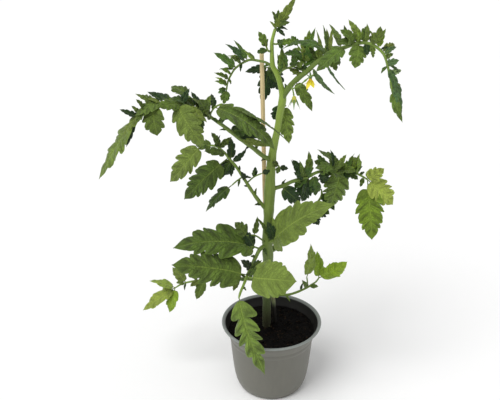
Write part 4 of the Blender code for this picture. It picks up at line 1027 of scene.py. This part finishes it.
soilStyle = {
    "drop": 12.4,
    "gap": 0.5,
    "crown": 1.5,
    "rings": 76,
    "sides": 180,
    # where the sides' rings are, below the edge of the top
    "sideHeights": (4.2, 7.04, 30, 60.72, 66, 70, 74),
    "waves": 26,
    "longestWave": 16.0,
    "calmEdge": 2.5 * mm,
    "crumbs": 1500,
    "crumbSize": (0.5, 1.9),
    "soilHex": "0c0a09",
    "crumbHexes": ("0a0908", "120e0b", "1b150f", "2c2117", "080808"),
}


# Soil's unevenness: a sum of waves a*sin(k.p + phase), shorter ones lower.
def rough(x, y, rng):
    total = 0
    for k in range(soilStyle["waves"]):
        length = soilStyle["longestWave"] * 0.87 ** k
        turn, phase = rng.uniform(0, fullTurn, 2)
        across = (x * math.cos(turn) + y * math.sin(turn)) / mm
        total = total + length ** 0.8 * np.sin(across * fullTurn / length + phase)
    return total / 30


# The root ball: from its foot up beside the pot's wall to an uneven top that rises to
# its middle by crown*(1 - (r/edge)^2), and crumbs of peat and bark strewn over it.
def makeSoil(materials):
    style = soilStyle
    rng = np.random.default_rng(77)
    surface = potStyle["height"] - style["drop"]
    bottom = potStyle["floor"] + style["gap"]
    edge = innerRadius(surface) - style["gap"]
    sides = np.r_[style["sideHeights"], surface - 0.6]
    rings = np.linspace(1, 0.0002, style["rings"]) * edge
    lower = np.vstack([together((0.01, 15, 30), bottom),
                       together(innerRadius(sides) - style["gap"], sides)])
    top = together(rings, surface + style["crown"] * (1 - (rings / edge) ** 2))
    points = turned(np.vstack([lower, top]) * mm, style["sides"])
    x, y, z = np.moveaxis(points, -1, 0)
    calm = np.clip((edge * mm - np.hypot(x, y)) / style["calmEdge"], 0, 1)
    fine = rng.normal(0, 0.28, x.shape)
    raised = calm * (rough(x, y, rng) * 1.5 + fine) * mm * 0.8
    z[len(lower):] += raised[len(lower):]
    shade = linearColour(style["soilHex"]) * rng.uniform(0.6, 1.6, x.shape)[..., None]

    # crumbs: twenty-faced lumps, squeezed and turned
    gold = (1 + 5 ** 0.5) / 2
    corners = [(-1, gold, 0), (1, gold, 0), (-1, -gold, 0), (1, -gold, 0)]
    lump = np.vstack([np.roll(corners, k, axis=1) for k in range(3)]) / 1.9
    faces = [(0, 11, 5), (0, 5, 1), (0, 1, 7), (0, 7, 10), (0, 10, 11), (1, 5, 9), (5, 11, 4),
             (11, 10, 2), (10, 7, 6), (7, 1, 8), (3, 9, 4), (3, 4, 2), (3, 2, 6), (3, 6, 8),
             (3, 8, 9), (4, 9, 5), (2, 4, 11), (6, 2, 10), (8, 6, 7), (9, 8, 1)]
    count = style["crumbs"]
    radius = (edge - 2) * mm * np.sqrt(rng.uniform(0, 1, count))
    turn = rng.uniform(0, fullTurn, count)
    low, high = style["crumbSize"]
    size = (low + (high - low) * rng.uniform(0, 1, count) ** 3) * mm
    squeeze = rng.uniform(0.5, 1.3, (count, 1, 3))
    shape = lump * squeeze * (1 + rng.uniform(-0.22, 0.22, (count, len(lump), 1)))
    spin = rng.uniform(0, fullTurn, count)[:, None]
    x, y, z = np.moveaxis(shape, -1, 0)
    spun = together(x * np.cos(spin) - y * np.sin(spin), x * np.sin(spin) + y * np.cos(spin),
                    0.7 * z)
    x, y = radius * np.cos(turn), radius * np.sin(turn)
    # they lie on waves of their own, so that some stand proud and some are half sunk
    waves = rough(x, y, np.random.default_rng(77)) * 1.2 * mm
    level = (surface + style["crown"] * (1 - (radius / mm / edge) ** 2)) * mm
    level += waves * np.clip((edge * mm - radius) / style["calmEdge"], 0, 1)
    crumbs = together(x, y, level)[:, None] + spun * size[:, None, None]
    colours = np.array([linearColour(text) for text in style["crumbHexes"]])
    colours = colours[rng.integers(0, len(colours), count)]
    parts = [tubePart(points, plainTone(shade)), lumpParts(crumbs, faces, colours)]
    return makePiece("soil", parts, materials, 40)


# Moist peat with bark: very dark, rough grains about 0.6 mm across, with a few damp
# glints.
def soilMaterial():
    return grainedMaterial("pottingPeat", {
        "Roughness": 0.9, "IOR": 1.4, "Specular IOR Level": 0.12}, [
            ("object", (1600, 1600, 1600), 4, (0.3, 0.7, 0.5, 1.6))],
        gloss=(0.35, 0.65, 0.6, 0.95), bumps=(0.8, 0.4))


flowerStyle = {
    "place": np.array((37.5, -19, 406.5)) * mm,
    "budPlace": np.array((21, -18, 382)) * mm,
    "stalks": [
        [(19, -5, 394), (19, -14, 393), (27, -20, 400), (36, -23, 409), (41, -22, 412),
         (41, -20, 411), (38, -19, 409)],
        [(19, -14, 393), (20, -17, 390), (21, -18, 384)]],
    "stalkRadius": 0.8 * mm,
    "stalkHex": "6f8a3a",
    "stalkRows": 34,
    "hairs": 60,
    "hairLength": 0.6 * mm,
    "hairHex": "b9c690",
    "petals": 5,
    "petalLength": 9.6 * mm,
    "petalWidth": 5.2 * mm,
    "petalReach": 0.62,
    "petalHexes": ("efd634", "f7e440"),
    # the cone of stamens: share of its length, radius
    "cone": [(0, 1.2), (0.12, 1.7), (0.45, 1.8), (0.8, 1.0), (0.96, 0.55), (1, 0.02)],
    "coneLength": 7.2,
    "coneHex": "f0cf2c",
    "sepals": 5,
    "sepalLength": 6.4 * mm,
    "sepalWidth": 2.1 * mm,
    "sepalHexes": ("58793a", "6d8b44"),
    # the cup under the petals, from its foot: radius, height
    "cup": [(0.01, 0.2), (1.7, 0.3), (1.9, 1.2), (1.6, 2.2), (0.9, 2.9), (0.01, 3.0)],
    "budRows": 18,
    "budRadius": 2.5 * mm,
    "budHalfLength": 4.4 * mm,
    "budHex": "b9b84a",
}


# A petal or sepal. At u along it the half width is width/2*sin(pi*u^0.8)^0.8, and its
# midline lies reach*length*u out and length*(lift*u - curl*u^2) up, hollowed across.
def pointedPart(base, heading, length, width, lift, curl, hexes, rows=16, across=9, reach=1.0):
    outward = direction(heading, 0)
    u = np.linspace(0, 1, rows)[:, None]
    half = np.maximum(width / 2 * np.abs(np.sin(np.pi * u ** 0.8)) ** 0.8, 0.09 * width)
    s = np.linspace(-1, 1, across)
    v = np.r_[s, s[-2:0:-1]]
    thick = 0.16 * mm * np.where(np.arange(len(v)) < across, 1, -1) * np.sqrt(1 - v ** 2)
    middle = base + reach * length * u * outward + length * (lift * u - curl * u ** 2) * up
    points = (middle[:, None] - (v * half)[..., None] * np.cross(up, outward)
              + (0.18 * half * v ** 2 + thick)[..., None] * up)
    near, far = (linearColour(text) for text in hexes)
    return tubePart(points, plainTone(near * (1 - u) + far * u)[:, None], together(v, u))


# The flower's stalks with their knuckle, the green calyx, and a closed bud.
def makeTruss(materials):
    style = flowerStyle
    rng = np.random.default_rng(12)
    parts = []
    for stalk in style["stalks"]:
        rows = style["stalkRows"]
        route = smoothRoute(stalk, rows) * mm
        share = np.linspace(0, 1, rows)
        radii = style["stalkRadius"] * (
            1 + 0.5 * np.exp(-((share - 0.62) / 0.03) ** 2) - 0.15 * share)
        parts += [tubePart(skinAround(route, radii * roundedEnd(rows, 0.04), 12),
                           plainTone(style["stalkHex"])),
                  hairParts(route, radii, style["hairs"], style["hairLength"],
                            style["hairHex"], rng)]
    place, bud = style["place"], style["budPlace"]
    length, width = style["sepalLength"], style["sepalWidth"]
    for k in range(style["sepals"]):
        heading = 360 / style["sepals"] * k + 20 + 5 * math.sin(3 * k)
        parts += [pointedPart(place + 2.2 * mm * up, heading, length, width, -0.1, -0.6,
                              style["sepalHexes"]),
                  pointedPart(bud + 3.6 * mm * up, heading + 30, 7 * mm, 2.2 * mm, -1,
                              0.9 - 0.15 * (k % 2), style["sepalHexes"])]
    # the bud: a spindle round an upright line
    along = np.pi * np.linspace(0, 1, style["budRows"])
    spine = bud - style["budHalfLength"] * np.cos(along)[:, None] * up
    swell = np.maximum(style["budRadius"] * np.sin(along) ** 0.8, 0.02 * mm)
    parts += [tubePart(skinAround(spine, swell, 20, 0.06, 5), plainTone(style["budHex"])),
              tubePart(turned(np.array(style["cup"]) * mm, 20) + place,
                       plainTone(style["sepalHexes"][0]))]
    return makePiece("flower_truss", parts, materials)


# Pointed petals that turn back, round a ribbed cone of stamens.
def makeFlower(materials):
    style = flowerStyle
    place = style["place"]
    parts = []
    for k in range(style["petals"]):
        heading = 360 / style["petals"] * k + 17 + 6 * math.sin(3 * k)
        base = place + (0.7 * direction(heading, 0) - 0.9 * up) * mm
        parts.append(pointedPart(base, heading, style["petalLength"], style["petalWidth"],
                                 -1.15 - 0.1 * (k % 2), -0.3 - 0.08 * (k % 3),
                                 style["petalHexes"], 20, 11, style["petalReach"]))
    along = np.linspace(0, 1, 22)
    radii = np.interp(along, *np.transpose(style["cone"])) * mm
    spine = place + ((0.4 - style["coneLength"] * along) * mm)[:, None] * up
    parts.append(tubePart(skinAround(spine, radii, 30, 0.09, 5), plainTone(style["coneHex"])))
    return makePiece("flower_corolla", parts, materials)


# Petal tissue: thin, soft, half matt, with fine veins that run to the tip.
def petalMaterial():
    return grainedMaterial("petalSoft", {
        "Roughness": 0.55, "IOR": 1.4, "Sheen Weight": 0.2, "Subsurface Weight": 0.15,
        "Subsurface Scale": 1.0 * mm}, [("skin", (7, 1.2, 1), 2, (0.35, 0.65, 0.88, 1.06))])


# What a user would change about the view and the light
studio = {
    "cameraPlace": (0.0, -0.9783, 0.7579),
    "lookAt": (-0.026, -0.001, 0.2538),
    "lensMm": 70.0,
    "sensorMm": 36.0,
    "floorSize": 16.0,
    "floorHex": "fafafa",
    "skyHex": "ffffff",
    "skyStrength": 0.56,
    "sunFrom": (-0.55, -0.6, 1.3),
    "sunSpread": 38.0,
    "sunStrength": 1.95,
}


# A wide pale floor, an even pale sky and one broad soft light from above.
def makeStudio():
    size = studio["floorSize"] / 2
    mesh = bpy.data.meshes.new("floor")
    mesh.from_pydata([(-size, -size, 0), (size, -size, 0), (size, size, 0), (-size, size, 0)],
                     [], [(0, 1, 2, 3)])
    mesh.materials.append(startMaterial("floorPale", {
        "Base Color": rgba(studio["floorHex"]), "Roughness": 0.9})[0])
    floor = addObject("floor", mesh)
    world = bpy.data.worlds.new("studio")
    world.use_nodes = True
    sky = world.node_tree.nodes["Background"]
    sky.inputs["Color"].default_value = rgba(studio["skyHex"])
    sky.inputs["Strength"].default_value = studio["skyStrength"]
    bpy.context.scene.world = world
    lamp = bpy.data.lights.new("softbox", "SUN")
    lamp.energy, lamp.angle = studio["sunStrength"], math.radians(studio["sunSpread"])
    light = addObject("softbox", lamp)
    light.rotation_euler = Vector(studio["sunFrom"]).to_track_quat("Z", "Y").to_euler()
    lens = bpy.data.cameras.new("camera")
    lens.lens, lens.sensor_width = studio["lensMm"], studio["sensorMm"]
    camera = addObject("camera", lens)
    camera.location = place = Vector(studio["cameraPlace"])
    camera.rotation_euler = (Vector(studio["lookAt"]) - place).to_track_quat("-Z", "Y").to_euler()
    bpy.context.scene.camera = camera
    bpy.context.scene.view_settings.view_transform = "Standard"


makeStudio()
print("studio ready")
blade, skin = leafBladeMaterial(), stalkSkinMaterial()
for seed, (name, stalks) in enumerate(leaves.items(), 100):
    makeLeaf(name, stalks, [blade, skin], seed)
print("leaves ready:", len(leaves))
makeStem([skin])
makeCane([caneMaterial()])
print("stem and cane ready")
makePot([potMaterial()])
makeSoil([soilMaterial()])
print("pot and soil ready")
makeTruss([skin])
makeFlower([petalMaterial()])
print("flower ready")
